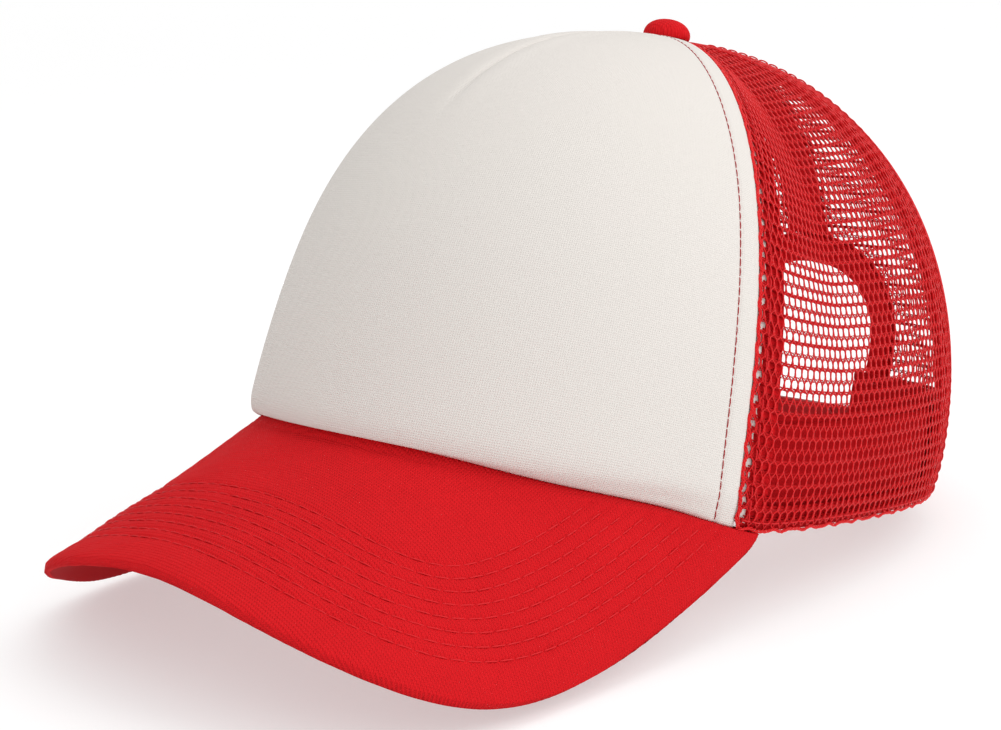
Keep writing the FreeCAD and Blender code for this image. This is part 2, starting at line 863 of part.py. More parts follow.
def main():
    os.makedirs("parts", exist_ok=True)
    for name, shape in nodes().items():
        shape.exportStep(os.path.join("parts", name + ".step"))
        print(name, "valid" if shape.isValid() else "INVALID", round(shape.Volume, 1), "mm3")


main()
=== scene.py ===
import math

import bpy
import numpy as np
from mathutils import Matrix, Vector
from mathutils.geometry import delaunay_2d_cdt


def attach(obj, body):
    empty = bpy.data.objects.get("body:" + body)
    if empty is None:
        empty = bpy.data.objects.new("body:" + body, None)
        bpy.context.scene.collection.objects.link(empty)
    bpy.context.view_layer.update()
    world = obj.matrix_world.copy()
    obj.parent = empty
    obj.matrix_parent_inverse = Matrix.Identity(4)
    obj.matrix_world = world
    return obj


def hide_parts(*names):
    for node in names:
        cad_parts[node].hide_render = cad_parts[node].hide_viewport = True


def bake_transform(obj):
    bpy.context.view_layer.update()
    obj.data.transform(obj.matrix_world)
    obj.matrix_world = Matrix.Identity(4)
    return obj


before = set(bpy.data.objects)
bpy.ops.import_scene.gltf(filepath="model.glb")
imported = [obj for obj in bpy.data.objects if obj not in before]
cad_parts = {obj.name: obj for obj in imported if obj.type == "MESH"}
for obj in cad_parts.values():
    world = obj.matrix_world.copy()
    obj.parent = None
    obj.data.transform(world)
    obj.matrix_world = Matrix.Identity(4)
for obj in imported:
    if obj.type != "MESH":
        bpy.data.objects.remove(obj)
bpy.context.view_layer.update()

# Sizes below are in millimetres and angles in degrees; 0 degrees is the wearer's front and 180 the back.
MM = 0.001

# ---- Crown ----
BASE_LENGTH = 209.0
FRONT_REACH = 100.7
HALF_WIDTH = 85.3
OVAL_POWER = 1.99
REAR_OVAL_POWER = 2.8
CROWN_HEIGHT = 128.1
APEX_BACK = 26.0
FRONT_POWER = (2.91, 3.54)
SIDE_POWER = 1.71
REAR_POWER = 2.12
UPRIGHT_REAR = 12.9
UPRIGHT_FRONT = 4.65
TUCK_REAR = 0.013
TUCK_FRONT = 0.034
FRONT_ARCH_RISE = 16.8
FRONT_ARCH_ANGLE = 71.6
ARCH_FADE_HEIGHT = 62.7
ARCH_BLEND = 0.06
FRONT_SEAM_ANGLE = (65.5, -4.2, 4.5)
# Unevenness of the sewn cap: the seam leans back at its foot, and the panel's edge dips at one side.
SEAM_FOOT = 1.8
SEAM_DIP = 1.4
SEAM_DIP_ANGLE = 34.0
SEAM_DIP_SPREAD = 17.0
SEAM_FOOT_RISE = 0.06
BACK_SEAM_ANGLE = 129.0
PANEL_TOP = 0.972

# ---- Cloth, foam and tape ----
FACE_THICK = 0.7
FOAM_THICK = 2.4
FOAM_EDGE_THICK = 0.9
FOAM_EDGE_WIDTH = 9.0
MESH_THICK = 1.0
TAPE_THICK = 0.6
TAPE_WIDTH = 14.0
FRONT_TAPE_SHIFT = 3.3
TAPE_RANGE = (0.012, 0.925)
DART_START = 0.52
LAYER_GAP = 0.15

# ---- Net: two staggered rows of holes make one period ----
COLUMN_PITCH = 2.42
NET_HALF_WIDTH = 62.0
NET_SPREAD = 1.12
NET_GATHER = 0.42
ROW_PERIOD = 6.06
YARN_RADIUS = 0.135
YARN_DEPTH = 2.0
TURNED_EDGE = 9.5
# One period of a snaking yarn: share of the way to the next column, swings to the side, height.
SNAKE = ((0, -3.0, -0.05), (0, -1.0, 0.45), (0, 1.0, 1.4), (0, 4.5, 1.95),
         (1, -2.0, 2.85), (1, -1.0, 3.4), (1, 1.0, 4.5), (1, -3.5, 5.0))
# Level yarns of one period: height, swing, lift off the crown, share of the yarn's thickness.
LEVEL_YARNS = ((2.05, 0.1, -0.06, 0.8), (2.45, 0.34, -0.12, 0.7), (2.85, -0.1, -0.06, 0.8),
               (5.14, 0.08, -0.04, 0.95), (5.38, 0.1, -0.14, 1.2), (5.62, -0.1, -0.04, 1.2),
               (5.86, -0.08, -0.14, 0.95))

# ---- Sweatband ----
BAND_RADIUS = 95.0
BAND_HEIGHT = 28.5
BAND_LIFT = 1.0
PADDING_THICK = 1.0
BAND_CLOTH_THICK = 0.7
BAND_END_ANGLE = 166.5
BAND_BULGE_ANGLE = 137.0
BAND_REAR_BULGE = 3.4

# ---- Rear opening and its binding ----
ARCH_HALF_WIDTH = 25.8
ARCH_HEIGHT = 64.7
ARCH_POWER = 2.2
ARCH_WIDEST = 40.0
ARCH_FOOT_HALF_WIDTH = 21.8
ARCH_SIDE_TURN = 0.62
BINDING_WIDTH = 8.0
BINDING_GAP = 0.25

# ---- Visor ----
VISOR_REACH = 154.9
VISOR_HALF_WIDTH = 86.2
VISOR_CURVE_POWERS = (0.678, 0.454)
VISOR_SLOPE = 26.8
VISOR_DROP = 52.1
VISOR_DROP_POWER = (2.86, -1.24)
VISOR_DROP_GROWTH = (-0.396, -0.209)
VISOR_LIFT = 1.44
VISOR_DROP_X = 83.6
VISOR_LENGTH = 73.2
VISOR_TUCK = 3.3
VISOR_GAP = 0.25
VISOR_END = 0.999
VISOR_CORNER_ANGLE = 72.6
# Unevenness of the visor: one side drops, the other draws in, and the far tip bends and rounds off.
FAR_SIDE_DROP = 1.0
NEAR_SIDE_TUCK = 0.8
TIP_BEND = (1.0, 0.4, -0.3)
TIP_CORNER = (62.0, 139.0)
TIP_CORNER_RADIUS = 12.0
TIP_ROUNDING = (0.9, 1.0, 0.3)
TIP_BEND_START = 34.0
VISOR_THICK = 3.5
VISOR_MIDDLE = (0.0, -95.0)
QUILT_FIRST = 10.1
QUILT_PITCH = 3.6
QUILT_ROWS = 8

# ---- Straps ----
STRAP_HEIGHT = 18.0
STRAP_LIFT = 0.8
STRAP_LEAN = 14.0
STRAP_THICK = 1.2
STRAP_GAP = 0.5
HOLE_STRAP_INSET = 2.2
ROOT_ALONG = 20.5
SEWN_END = 16.0
SNAP_PITCH = 7.1
SNAP_COUNT = 5
FIRST_SNAP = -14.0
TIP_MARGIN = 4.6
HOLE_RADIUS = 2.45

# ---- Button on top ----
BUTTON_RADIUS = 6.9
BUTTON_HEIGHT = 5.6
BUTTON_TILT = 5.0

# ---- Stitching ----
STITCH_RADIUS = 0.2
STITCH_LENGTH = 3.2
random = np.random.default_rng(7)


def unit(vectors):
    return vectors / np.maximum(np.linalg.norm(vectors, axis=-1, keepdims=True), 1e-9)


def paired(first, second):
    return np.broadcast_arrays(np.asarray(first, float), np.asarray(second, float))


def grid(first, second):
    return np.meshgrid(first, second, indexing="ij")


def path_lengths(points):
    """Length along a path up to each of its points."""
    return np.concatenate([[0.0], np.cumsum(np.linalg.norm(np.diff(points, axis=0), axis=1))])


# ---- Crown surface ----

def base_radius(angle):
    sine, cosine = math.sin(angle), math.cos(angle)
    reach = FRONT_REACH if cosine > 0 else BASE_LENGTH - FRONT_REACH
    power = OVAL_POWER if cosine > 0 else REAR_OVAL_POWER
    total = abs(sine / HALF_WIDTH) ** power + abs(cosine / reach) ** power
    return total ** (-1.0 / power)


def meridian(angle, rises):
    """Points up the crown at one angle in radians, at equal shares of the meridian's length."""
    share = np.linspace(0.0, 1.0, 241)
    share = 0.5 * share * share + 0.5 * share
    cosine = math.cos(angle)
    front = max(cosine, 0.0) ** 1.5
    rear = max(-cosine, 0.0)
    side = 1.0 - front - rear
    rest = REAR_POWER * rear + SIDE_POWER * side
    width_power = FRONT_POWER[0] * front + rest
    height_power = FRONT_POWER[1] * front + rest
    upright = UPRIGHT_FRONT * front + UPRIGHT_REAR * (1.0 - front)
    tuck = TUCK_FRONT * front + TUCK_REAR * (1.0 - front)
    fullest = base_radius(angle) / (1.0 - tuck)
    upright_share = min(max(upright / (CROWN_HEIGHT * 1.25), 0.02), 0.5)
    part = np.minimum(share / upright_share, 1.0)
    turn = np.clip((share - upright_share) / (1.0 - upright_share), 0.0, 1.0) * math.pi / 2
    low = share < upright_share
    rho = np.where(
        low,
        fullest * (1.0 - tuck * (1.0 - part) ** 2),
        fullest * np.maximum(np.cos(turn), 0.0) ** (2.0 / width_power),
    )
    top = upright + (CROWN_HEIGHT - upright) * np.sin(turn) ** (2.0 / height_power)
    z = np.where(low, upright * part, top)
    limit = math.cos(math.radians(FRONT_ARCH_ANGLE))
    ahead = (cosine - limit) / (1.0 - limit)
    arch = FRONT_ARCH_RISE * (ahead + math.hypot(ahead, ARCH_BLEND)) / 2.0
    z_up = z + arch * np.clip(1.0 - z / ARCH_FADE_HEIGHT, 0.0, 1.0) ** 2
    x = rho * math.sin(angle)
    y = -rho * cosine + APEX_BACK * z / CROWN_HEIGHT
    points = np.stack([x, y, z_up], 1)
    lengths = path_lengths(points)
    wanted = rises * lengths[-1]
    return np.stack([np.interp(wanted, lengths, points[:, k]) for k in range(3)], 1), lengths[-1]


ANGLE_STEP = 0.5
RISES = np.linspace(0.0, 1.0, 501)
ANGLES = np.arange(0.0, 180.0 + ANGLE_STEP, ANGLE_STEP)
meridians = [meridian(math.radians(angle), RISES) for angle in ANGLES]
POINTS = np.array([points for points, _ in meridians])
LENGTHS = np.array([length for _, length in meridians])


def looked_up(table, angle, rise):
    """Bilinear value of a table over (angle, rise); the left half mirrors the right."""
    angle, rise = paired(angle, rise)
    angle = (angle + 180.0) % 360.0 - 180.0
    column = np.clip(np.abs(angle) / ANGLE_STEP, 0.0, len(ANGLES) - 1.0001)
    row = np.clip(rise, 0.0, 1.0) * (len(RISES) - 1.0001)
    i, j = column.astype(int), row.astype(int)
    u, v = (column - i)[..., None], (row - j)[..., None]
    value = (
        table[i, j] * (1 - u) * (1 - v)
        + table[i + 1, j] * u * (1 - v)
        + table[i, j + 1] * (1 - u) * v
        + table[i + 1, j + 1] * u * v
    )
    value[..., 0] *= np.where(angle < 0, -1.0, 1.0)
    dip = SEAM_DIP * np.exp(-((angle - SEAM_DIP_ANGLE) / SEAM_DIP_SPREAD) ** 2)
    value[..., 2] -= dip * np.clip(1.0 - rise / 0.1, 0.0, 1.0) ** 2
    return value


def inward(angle, rise):
    rise = np.clip(rise, 0.004, 0.985)
    turn, step = math.degrees(0.01), 0.01
    across = looked_up(POINTS, angle + turn, rise) - looked_up(POINTS, angle - turn, rise)
    up = looked_up(POINTS, angle, rise + step) - looked_up(POINTS, angle, np.maximum(rise - step, 0))
    return unit(np.cross(up, across))


def crown(angle, rise, inset=0.0):
    """Crown point moved inwards by inset."""
    angle, rise = paired(angle, rise)
    return looked_up(POINTS, angle, rise) + inward(angle, rise) * np.asarray(inset)[..., None]


def ring_radius(angle, rise):
    point = looked_up(POINTS, angle, rise)
    axis_y = APEX_BACK * point[..., 2] / CROWN_HEIGHT
    return np.maximum(np.hypot(point[..., 0], point[..., 1] - axis_y), 0.5)


def degrees_of(width, angle, rise):
    return np.degrees(width / ring_radius(angle, rise))


def meridian_length(angle):
    return np.interp(np.abs((np.asarray(angle, float) + 180.0) % 360.0 - 180.0), ANGLES, LENGTHS)


def rise_at_height(angle, height):
    """Share of the meridian's length at a height above the base plane."""
    angle, height = paired(angle, height)
    low, high = np.zeros(angle.shape), np.ones(angle.shape)
    for _ in range(18):
        middle = (low + high) / 2
        under = looked_up(POINTS, angle, middle)[..., 2] < height
        low, high = np.where(under, middle, low), np.where(under, high, middle)
    return low


def smooth(value):
    value = np.clip(value, 0.0, 1.0)
    return value * value * (3.0 - 2.0 * value)


def front_seam(rise):
    first, second, third = FRONT_SEAM_ANGLE
    return first + second * rise + third * rise * rise + SEAM_FOOT * np.exp(-rise / SEAM_FOOT_RISE)


def inside_seam(angle, rise):
    """Distance from the front seam, positive on the front panel."""
    return np.radians(front_seam(rise) - np.abs(angle)) * ring_radius(angle, rise)


def foam_thickness(angle, rise):
    from_seam = inside_seam(angle, rise)
    return FOAM_EDGE_THICK + (FOAM_THICK - FOAM_EDGE_THICK) * smooth(from_seam / FOAM_EDGE_WIDTH)


def wall_thickness(angle, rise):
    beyond = -inside_seam(angle, rise)
    edge = FACE_THICK + FOAM_EDGE_THICK
    behind = edge + (MESH_THICK - edge) * smooth(beyond / FOAM_EDGE_WIDTH)
    return np.where(beyond > 0, behind, FACE_THICK + foam_thickness(angle, rise))


def band_inset(angle):
    front = FACE_THICK + FOAM_THICK + TAPE_THICK + 3 * LAYER_GAP
    rest = MESH_THICK + FOAM_EDGE_THICK + TAPE_THICK + 3 * LAYER_GAP
    over_straps = BAND_REAR_BULGE * smooth((np.abs(angle) - BAND_BULGE_ANGLE) / 15.0)
    return rest + (front - rest) * smooth((74.0 - np.abs(angle)) / 16.0) + over_straps


# ---- Mesh building ----

def in_scene(name, data):
    made = bpy.data.objects.new(name, data)
    bpy.context.scene.collection.objects.link(made)
    return made


def mesh_object(name, points, faces, material, body="crown", slot=None, uv=None):
    data = bpy.data.meshes.new(name)
    data.from_pydata((np.asarray(points) * MM).tolist(), [], faces)
    data.validate()
    if uv is not None:
        layer = data.uv_layers.new(name="cloth")
        index = np.empty(len(data.loops), int)
        data.loops.foreach_get("vertex_index", index)
        layer.data.foreach_set("uv", np.asarray(uv, np.float32)[index].ravel())
    data.materials.append(material)
    data.polygons.foreach_set("use_smooth", np.ones(len(data.polygons), bool))
    data.update()
    piece = in_scene(name, data)
    if body:
        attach(piece, body)
    return piece


def second_material(piece, material, first, last):
    """Give the faces from first up to last another material."""
    piece.data.materials.append(material)
    index = np.zeros(len(piece.data.polygons), np.int32)
    index[first:last] = 1
    piece.data.polygons.foreach_set("material_index", index)


def grid_faces(rows, columns, start=0, flip=False):
    i, j = grid(np.arange(rows - 1), np.arange(columns - 1))
    corner = start + i * columns + j
    quads = np.stack([corner, corner + columns, corner + columns + 1, corner + 1], -1).reshape(-1, 4)
    return quads[:, ::-1].tolist() if flip else quads.tolist()


def border(rows, columns):
    """Indices round the edge of a grid, in order."""
    top = list(range(columns))
    right = [i * columns + columns - 1 for i in range(1, rows)]
    bottom = [(rows - 1) * columns + j for j in range(columns - 2, -1, -1)]
    left = [i * columns for i in range(rows - 2, 0, -1)]
    return top + right + bottom + left


def shell(outer, inner, round_edge=0.5):
    """Closed cloth between two grids, with its edges rounded outwards by a share of its thickness."""
    rows, columns = outer.shape[:2]
    count = rows * columns
    flat_outer, flat_inner = outer.reshape(-1, 3), inner.reshape(-1, 3)
    edge = border(rows, columns)
    out_loop, in_loop = flat_outer[edge], flat_inner[edge]
    i, j = np.divmod(edge, columns)
    inside = np.clip(i, 1, rows - 2) * columns + np.clip(j, 1, columns - 2)
    away = unit(out_loop - flat_outer[inside])
    thick = np.linalg.norm(out_loop - in_loop, axis=1, keepdims=True)
    middle = (out_loop + in_loop) / 2 + away * thick * round_edge
    points = np.concatenate([flat_outer, flat_inner, middle])
    faces = grid_faces(rows, columns) + grid_faces(rows, columns, count, True)
    size = len(edge)
    for k in range(size):
        n = (k + 1) % size
        faces.append([edge[k], edge[n], 2 * count + n, 2 * count + k])
        faces.append([2 * count + k, 2 * count + n, count + edge[n], count + edge[k]])
    return points, faces


def shell_uv(across, along):
    """Flat coordinates in millimetres for the vertices of a shell."""
    flat = np.stack([across, along], -1)
    edge = border(*flat.shape[:2])
    flat = flat.reshape(-1, 2)
    return np.concatenate([flat, flat, flat[edge]])


def ring_faces(rings, around):
    """Quads between closed rings, with a cap on the first and the last."""
    faces = []
    for low in range(0, (rings - 1) * around, around):
        for k in range(around):
            n = (k + 1) % around
            faces.append([low + k, low + n, low + around + n, low + around + k])
    faces.append(list(range(around))[::-1])
    faces.append(list(range((rings - 1) * around, rings * around)))
    return faces


def tubes(paths, radius, sides=4, flatten=1.0):
    """Closed round tubes; each path is (points, outward normals), and a tube's ends are capped."""
    all_points, all_faces, start = [], [], 0
    turns = np.arange(sides) * 2 * math.pi / sides + math.pi / sides
    for points, normals in paths:
        count = len(points)
        if count < 2:
            continue
        along = unit(np.gradient(points, axis=0))
        side = unit(np.cross(along, normals))
        out = np.cross(side, along)
        ring = (
            points[:, None]
            + radius * np.cos(turns)[None, :, None] * side[:, None]
            + radius * flatten * np.sin(turns)[None, :, None] * out[:, None]
        )
        all_points.append(ring.reshape(-1, 3))
        k = np.arange(count - 1)[:, None] * sides + start
        s = np.arange(sides)[None]
        n = (s + 1) % sides
        quads = np.stack(np.broadcast_arrays(k + s, k + n, k + n + sides, k + s + sides), -1)
        all_faces.extend(quads.reshape(-1, 4).tolist())
        all_faces.append(list(range(start, start + sides))[::-1])
        all_faces.append(list(range(start + (count - 1) * sides, start + count * sides)))
        start += count * sides
    return np.concatenate(all_points), all_faces


def resampled(points, step):
    """The same path at an even spacing close to step."""
    lengths = path_lengths(points)
    count = max(int(round(lengths[-1] / step)), 2) + 1
    wanted = np.linspace(0.0, lengths[-1], count)
    return np.stack([np.interp(wanted, lengths, points[:, k]) for k in range(points.shape[1])], 1)


def stitch_paths(points, normals, length, sink=0.32, rise=0.22):
    """One short arched thread per stitch along a row, its two ends pulled into the cloth."""
    row = resampled(np.concatenate([points, normals], 1), length / 8.0)
    points, normals = row[:, :3], unit(row[:, 3:])
    lift = -sink + (sink + rise) * np.sqrt(np.maximum(np.sin(math.pi * np.linspace(0.02, 0.98, 8)), 0.0))
    paths = []
    for first in range(0, len(points) - 8, 8):
        part = points[first:first + 8] + normals[first:first + 8] * lift[:, None]
        paths.append((part, normals[first:first + 8]))
    return paths


def joined(pieces):
    """Several (points, faces) meshes as one."""
    points, faces, start = [], [], 0
    for some_points, some_faces in pieces:
        points.append(some_points)
        faces.extend([[index + start for index in face] for face in some_faces])
        start += len(some_points)
    return np.concatenate(points), faces


# ---- Materials ----

def material(name):
    made = bpy.data.materials.new(name)
    made.use_nodes = True
    tree = made.node_tree
    shader = next(node for node in tree.nodes if node.type == "BSDF_PRINCIPLED")
    return made, tree, shader


def add(tree, kind, plugs=(), **values):
    """New node with its values set and with each (input, output) pair of plugs linked."""
    node = tree.nodes.new(kind)
    for key, value in values.items():
        if key in node.inputs:
            node.inputs[key].default_value = value
        else:
            setattr(node, key, value)
    for socket, output in plugs:
        tree.links.new(output, node.inputs[socket])
    return node


def finish_surface(tree, shader, height, bump, factor, shade, colour, **levels):
    """Relief from a height, colour between two tints, and plain levels on the shader's sockets."""
    relief = add(tree, "ShaderNodeBump", [("Height", height)], **bump)
    tree.links.new(relief.outputs["Normal"], shader.inputs["Normal"])
    mix = add(tree, "ShaderNodeMix", [("Factor", factor)], data_type="RGBA")
    first, second = [socket for socket in mix.inputs if socket.type == "RGBA"]
    first.default_value, second.default_value = shade, colour
    result = next(socket for socket in mix.outputs if socket.type == "RGBA")
    tree.links.new(result, shader.inputs["Base Color"])
    for level, value in levels.items():
        shader.inputs[level.replace("_", " ")].default_value = value


def linear(red, green, blue):
    """Colour from 0 to 255 as linear light."""
    def one(value):
        value = value / 255.0
        return value / 12.92 if value <= 0.04045 else ((value + 0.055) / 1.055) ** 2.4
    return (one(red), one(green), one(blue), 1.0)


def cloth(name, colour, shade, weave, bump, roughness=0.85, sheen=0.0, mottle=0.35, drift=1.0):
    """Woven or knitted cloth: crossed threads on the cloth's own grain, fuzz, and slow colour change."""
    made, tree, shader = material(name)
    grain = add(tree, "ShaderNodeUVMap", uv_map="cloth").outputs["UV"]
    place = add(tree, "ShaderNodeTexCoord").outputs["Object"]
    across, along = [
        add(tree, "ShaderNodeTexWave", [("Vector", grain)], bands_direction=way, Scale=weave,
            Distortion=0.6, Detail=1.0).outputs["Fac"] for way in "XY"]
    threads = add(tree, "ShaderNodeMath", [(0, across), (1, along)], operation="MULTIPLY").outputs[0]
    fuzz, slow = [
        add(tree, "ShaderNodeTexNoise", [("Vector", place)], Scale=scale, Detail=detail).outputs["Fac"]
        for scale, detail in ((1900.0, 3.0), (55.0, 4.0))]

    def scaled(value, factor, plus):
        """value * factor + plus, where plus is a number or a socket."""
        linked = [(0, value)] if isinstance(plus, float) else [(0, value), (2, plus)]
        node = add(tree, "ShaderNodeMath", linked, operation="MULTIPLY_ADD")
        node.inputs[1].default_value = factor
        if isinstance(plus, float):
            node.inputs[2].default_value = plus
        return node.outputs[0]

    height = scaled(fuzz, 0.6, threads)
    depth = scaled(threads, 0.55, scaled(slow, drift, 0.5 - 0.5 * drift))
    ramp = add(tree, "ShaderNodeMapRange", [("Value", depth)])
    ramp.inputs["From Min"].default_value = 0.25
    ramp.inputs["From Max"].default_value = 0.25 + 1.0 / max(mottle, 0.05) * 0.35
    finish_surface(tree, shader, height, dict(Strength=bump, Distance=0.0003), ramp.outputs["Result"], shade,
                   colour, Roughness=roughness, Specular_IOR_Level=0.08, Sheen_Weight=sheen,
                   Sheen_Roughness=0.45)
    return made


def plain(name, colour, roughness, specular=0.5, bump=0.0, scale=600.0, metallic=0.0):
    """A smooth or finely pitted finish with a slow change in colour and gloss."""
    made, tree, shader = material(name)
    place = add(tree, "ShaderNodeTexCoord").outputs["Object"]
    noise = add(tree, "ShaderNodeTexNoise", [("Vector", place)], Scale=scale, Detail=4.0).outputs["Fac"]
    gloss = add(tree, "ShaderNodeMapRange", [("Value", noise)])
    gloss.inputs["To Min"].default_value = max(roughness - 0.08, 0.02)
    gloss.inputs["To Max"].default_value = min(roughness + 0.1, 1.0)
    tree.links.new(gloss.outputs["Result"], shader.inputs["Roughness"])
    darker = tuple(value * 0.86 for value in colour[:3]) + (1.0,)
    finish_surface(tree, shader, noise, dict(Strength=bump, Distance=0.0002), noise, darker, colour,
                   Specular_IOR_Level=specular, Metallic=metallic)
    return made


RED = linear(228, 30, 37)
DEEP_RED = linear(208, 23, 30)
BAND_RED = linear(205, 22, 29)
DEEP_BAND_RED = linear(185, 18, 24)
WHITE = linear(225, 219, 214)
SHADED_WHITE = linear(224, 219, 213)

panel_cloth = cloth("panel knit", WHITE, SHADED_WHITE, 0.55, 0.5, sheen=0.05, mottle=0.3)
visor_cloth = cloth("visor plain weave", linear(244, 36, 42), linear(196, 19, 26), 0.38, 1.1, drift=0.3)
# The visor's underside is the same red cloth as its top; this darker copy of it is painted shade for the
# shadowed underside.
visor_under_painted_shade_cloth = cloth("visor under weave painted shade", linear(176, 25, 30), linear(160, 20, 26), 0.45, 0.5)
tape_cloth = cloth("seam tape", RED, DEEP_RED, 0.8, 0.5)
band_cloth = cloth("sweatband twill", BAND_RED, DEEP_BAND_RED, 0.7, 0.5)
pad_cloth = cloth("sweatband lining", BAND_RED, DEEP_BAND_RED, 0.9, 0.4)
foam_finish = plain("open-cell foam", linear(238, 236, 230), 0.95, 0.1, 0.6, 900.0)
net_yarn = plain("net yarn", linear(226, 22, 28), 0.4, 0.26, 0.2, 1500.0)
dark_thread = plain("dark red thread", linear(168, 26, 32), 0.6, 0.1, 0.2, 900.0)
# A darker copy of the net yarn: painted shade for the level yarns, which lie deeper in the net.
net_yarn_painted_shade = plain("net ground yarn", linear(196, 18, 24), 0.5, 0.12, 0.2, 1500.0)
red_thread = plain("red thread", linear(216, 28, 35), 0.5, 0.2, 0.3, 1500.0)
strap_plastic = plain("strap plastic", linear(190, 20, 26), 0.32, 0.5, 0.05, 300.0)
button_metal = plain("painted metal", linear(190, 20, 26), 0.35, 0.5, 0.05, 500.0, 0.3)


# ---- Front panel: cloth face over foam ----

def topstitch_margin(rise):
    """Distance of the front panel's stitch row from its seam."""
    return 6.0 + 0.6 * smooth(rise / 0.3) + 1.6 * smooth((rise - 0.45) / 0.35)


def panel_offsets(angle, rise):
    """How far the face stands in from the crown surface: pressed at seams, creased at the dart."""
    from_seam = inside_seam(angle, rise)
    height = rise * meridian_length(angle)
    roll = 2.1 / (1.0 + (height / 5.5) ** 4) + 0.6 * np.exp(-height / 0.8)
    roll = roll * (0.25 + 0.75 * smooth(from_seam / 22.0))
    edge = 0.5 * np.exp(-np.maximum(from_seam, 0.0) / 1.2)
    groove = 0.4 * np.exp(-((from_seam - topstitch_margin(rise)) / 0.7) ** 2)
    centre = np.abs(np.radians(angle)) * ring_radius(angle, rise)
    strength = smooth((rise - DART_START + 0.08) / 0.2)
    dart = strength * (1.25 * np.exp(-(centre / 0.9) ** 2) - 0.35 * np.exp(-((centre - 5.0) / 3.0) ** 2))
    wave = 0.22 * np.sin(np.radians(angle * 2.3 + 40.0)) * np.sin(rise * 5.1 + 0.6)
    wave = wave * smooth(from_seam / 25.0) * smooth(height / 25.0)
    return roll + edge + groove + dart + wave


def front_grid(columns, rises, margin):
    shares = np.sin(np.linspace(-1.0, 1.0, columns) * math.pi / 2)
    share, rise = grid(0.55 * shares + 0.45 * np.linspace(-1.0, 1.0, columns), rises)
    reach = front_seam(rise) - degrees_of(margin, front_seam(rise), rise)
    return share * reach, rise


panel_rises = np.concatenate([
    np.linspace(0.0, 0.05, 14)[:-1],
    np.linspace(0.05, PANEL_TOP, 150),
])
angle, rise = front_grid(241, panel_rises, 0.15)
outer = crown(angle, rise, panel_offsets(angle, rise))
inner = crown(angle, rise, FACE_THICK + panel_offsets(angle, rise))
uv = shell_uv(np.radians(angle) * ring_radius(0.0, 0.4), rise * meridian_length(angle))
front_face = mesh_object("front_panel_cloth", *shell(outer, inner), panel_cloth, slot="panel_cloth", uv=uv)
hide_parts("front_panel_fabric")

angle, rise = front_grid(61, np.linspace(0.032, PANEL_TOP, 61), 0.9)
thick = foam_thickness(angle, rise)
pits = random.normal(0.0, 0.05, angle.shape)
pressed = FACE_THICK + panel_offsets(angle, rise) + 0.05
outer = crown(angle, rise, pressed)
inner = crown(angle, rise, np.maximum(FACE_THICK + thick, pressed + 0.5) + pits)
foam = mesh_object("front_panel_foam_backing", *shell(outer, inner), foam_finish, slot="foam")
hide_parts("front_panel_foam")


allowance = []
for side in (1, -1):
    share, rise = grid(np.linspace(0.0, 1.0, 9), np.linspace(0.01, 0.93, 140))
    ragged = 3.6 + 0.35 * np.sin(rise * 90.0) + 0.2 * np.sin(rise * 213.0)
    angle = side * (front_seam(rise) + degrees_of(share * ragged - 0.5, front_seam(rise), rise))
    allowance.append(shell(crown(angle, rise, 1.12), crown(angle, rise, 1.5)))
points, faces = joined(allowance)
mesh_object("front_panel_seam_allowance", points, faces, panel_cloth, slot="panel_cloth",
            uv=points[:, :2].copy())


def on_surface(angle, rise):
    return np.zeros(angle.shape)


def seam_row(angle_of, first, last, inset, stitch=STITCH_LENGTH, sink=0.32, sense=-1.0):
    """Stitches that follow a line up the crown."""
    rise = np.linspace(first, last, 160)
    angle = angle_of(rise)
    points = crown(angle, rise, inset(angle, rise))
    return stitch_paths(points, sense * inward(angle, rise), stitch, sink)


paths = []
for side in (1, -1):
    line = lambda rise, side=side: side * (
        front_seam(rise) - degrees_of(topstitch_margin(rise), front_seam(rise), rise))
    paths += seam_row(line, 0.004, 0.94, panel_offsets, 2.6, 0.1)
mesh_object("front_panel_topstitching", *tubes(paths, 0.14, 6), dark_thread, slot="tape_cloth")


# ---- Net panels ----

def net_chains(wide, tall, jitter):
    """Yarns of the net in flat cloth, as (path of (across, up), lift, thickness). Two snake up each
    column and pass between columns at every band; level ones zigzag through the bands."""
    yarns = []
    columns = int(wide / COLUMN_PITCH) + 2
    periods = int(tall / ROW_PERIOD) + 2
    half = COLUMN_PITCH / 2
    for column in range(-columns, columns + 1):
        for lean in (1, -1):
            spread = 0.09 * lean
            path = []
            for period in range(periods):
                x, y = column * COLUMN_PITCH, period * ROW_PERIOD
                path += [(x + step * lean * half + swing * spread, y + up) for step, swing, up in SNAKE]
            yarns.append((np.array(path), 0.12, 1.0))
    steps = np.arange(-2 * columns, 2 * columns + 1)
    zigzag = np.where(steps % 2 == 0, 1.0, -1.0)
    for period in range(periods):
        base = period * ROW_PERIOD
        for level, swing, lift, thickness in LEVEL_YARNS:
            yarns.append((np.stack([steps * half, base + level + zigzag * swing], 1), lift, thickness))
    return [(path + jitter.normal(0.0, 0.04, path.shape), lift, thick) for path, lift, thick in yarns]


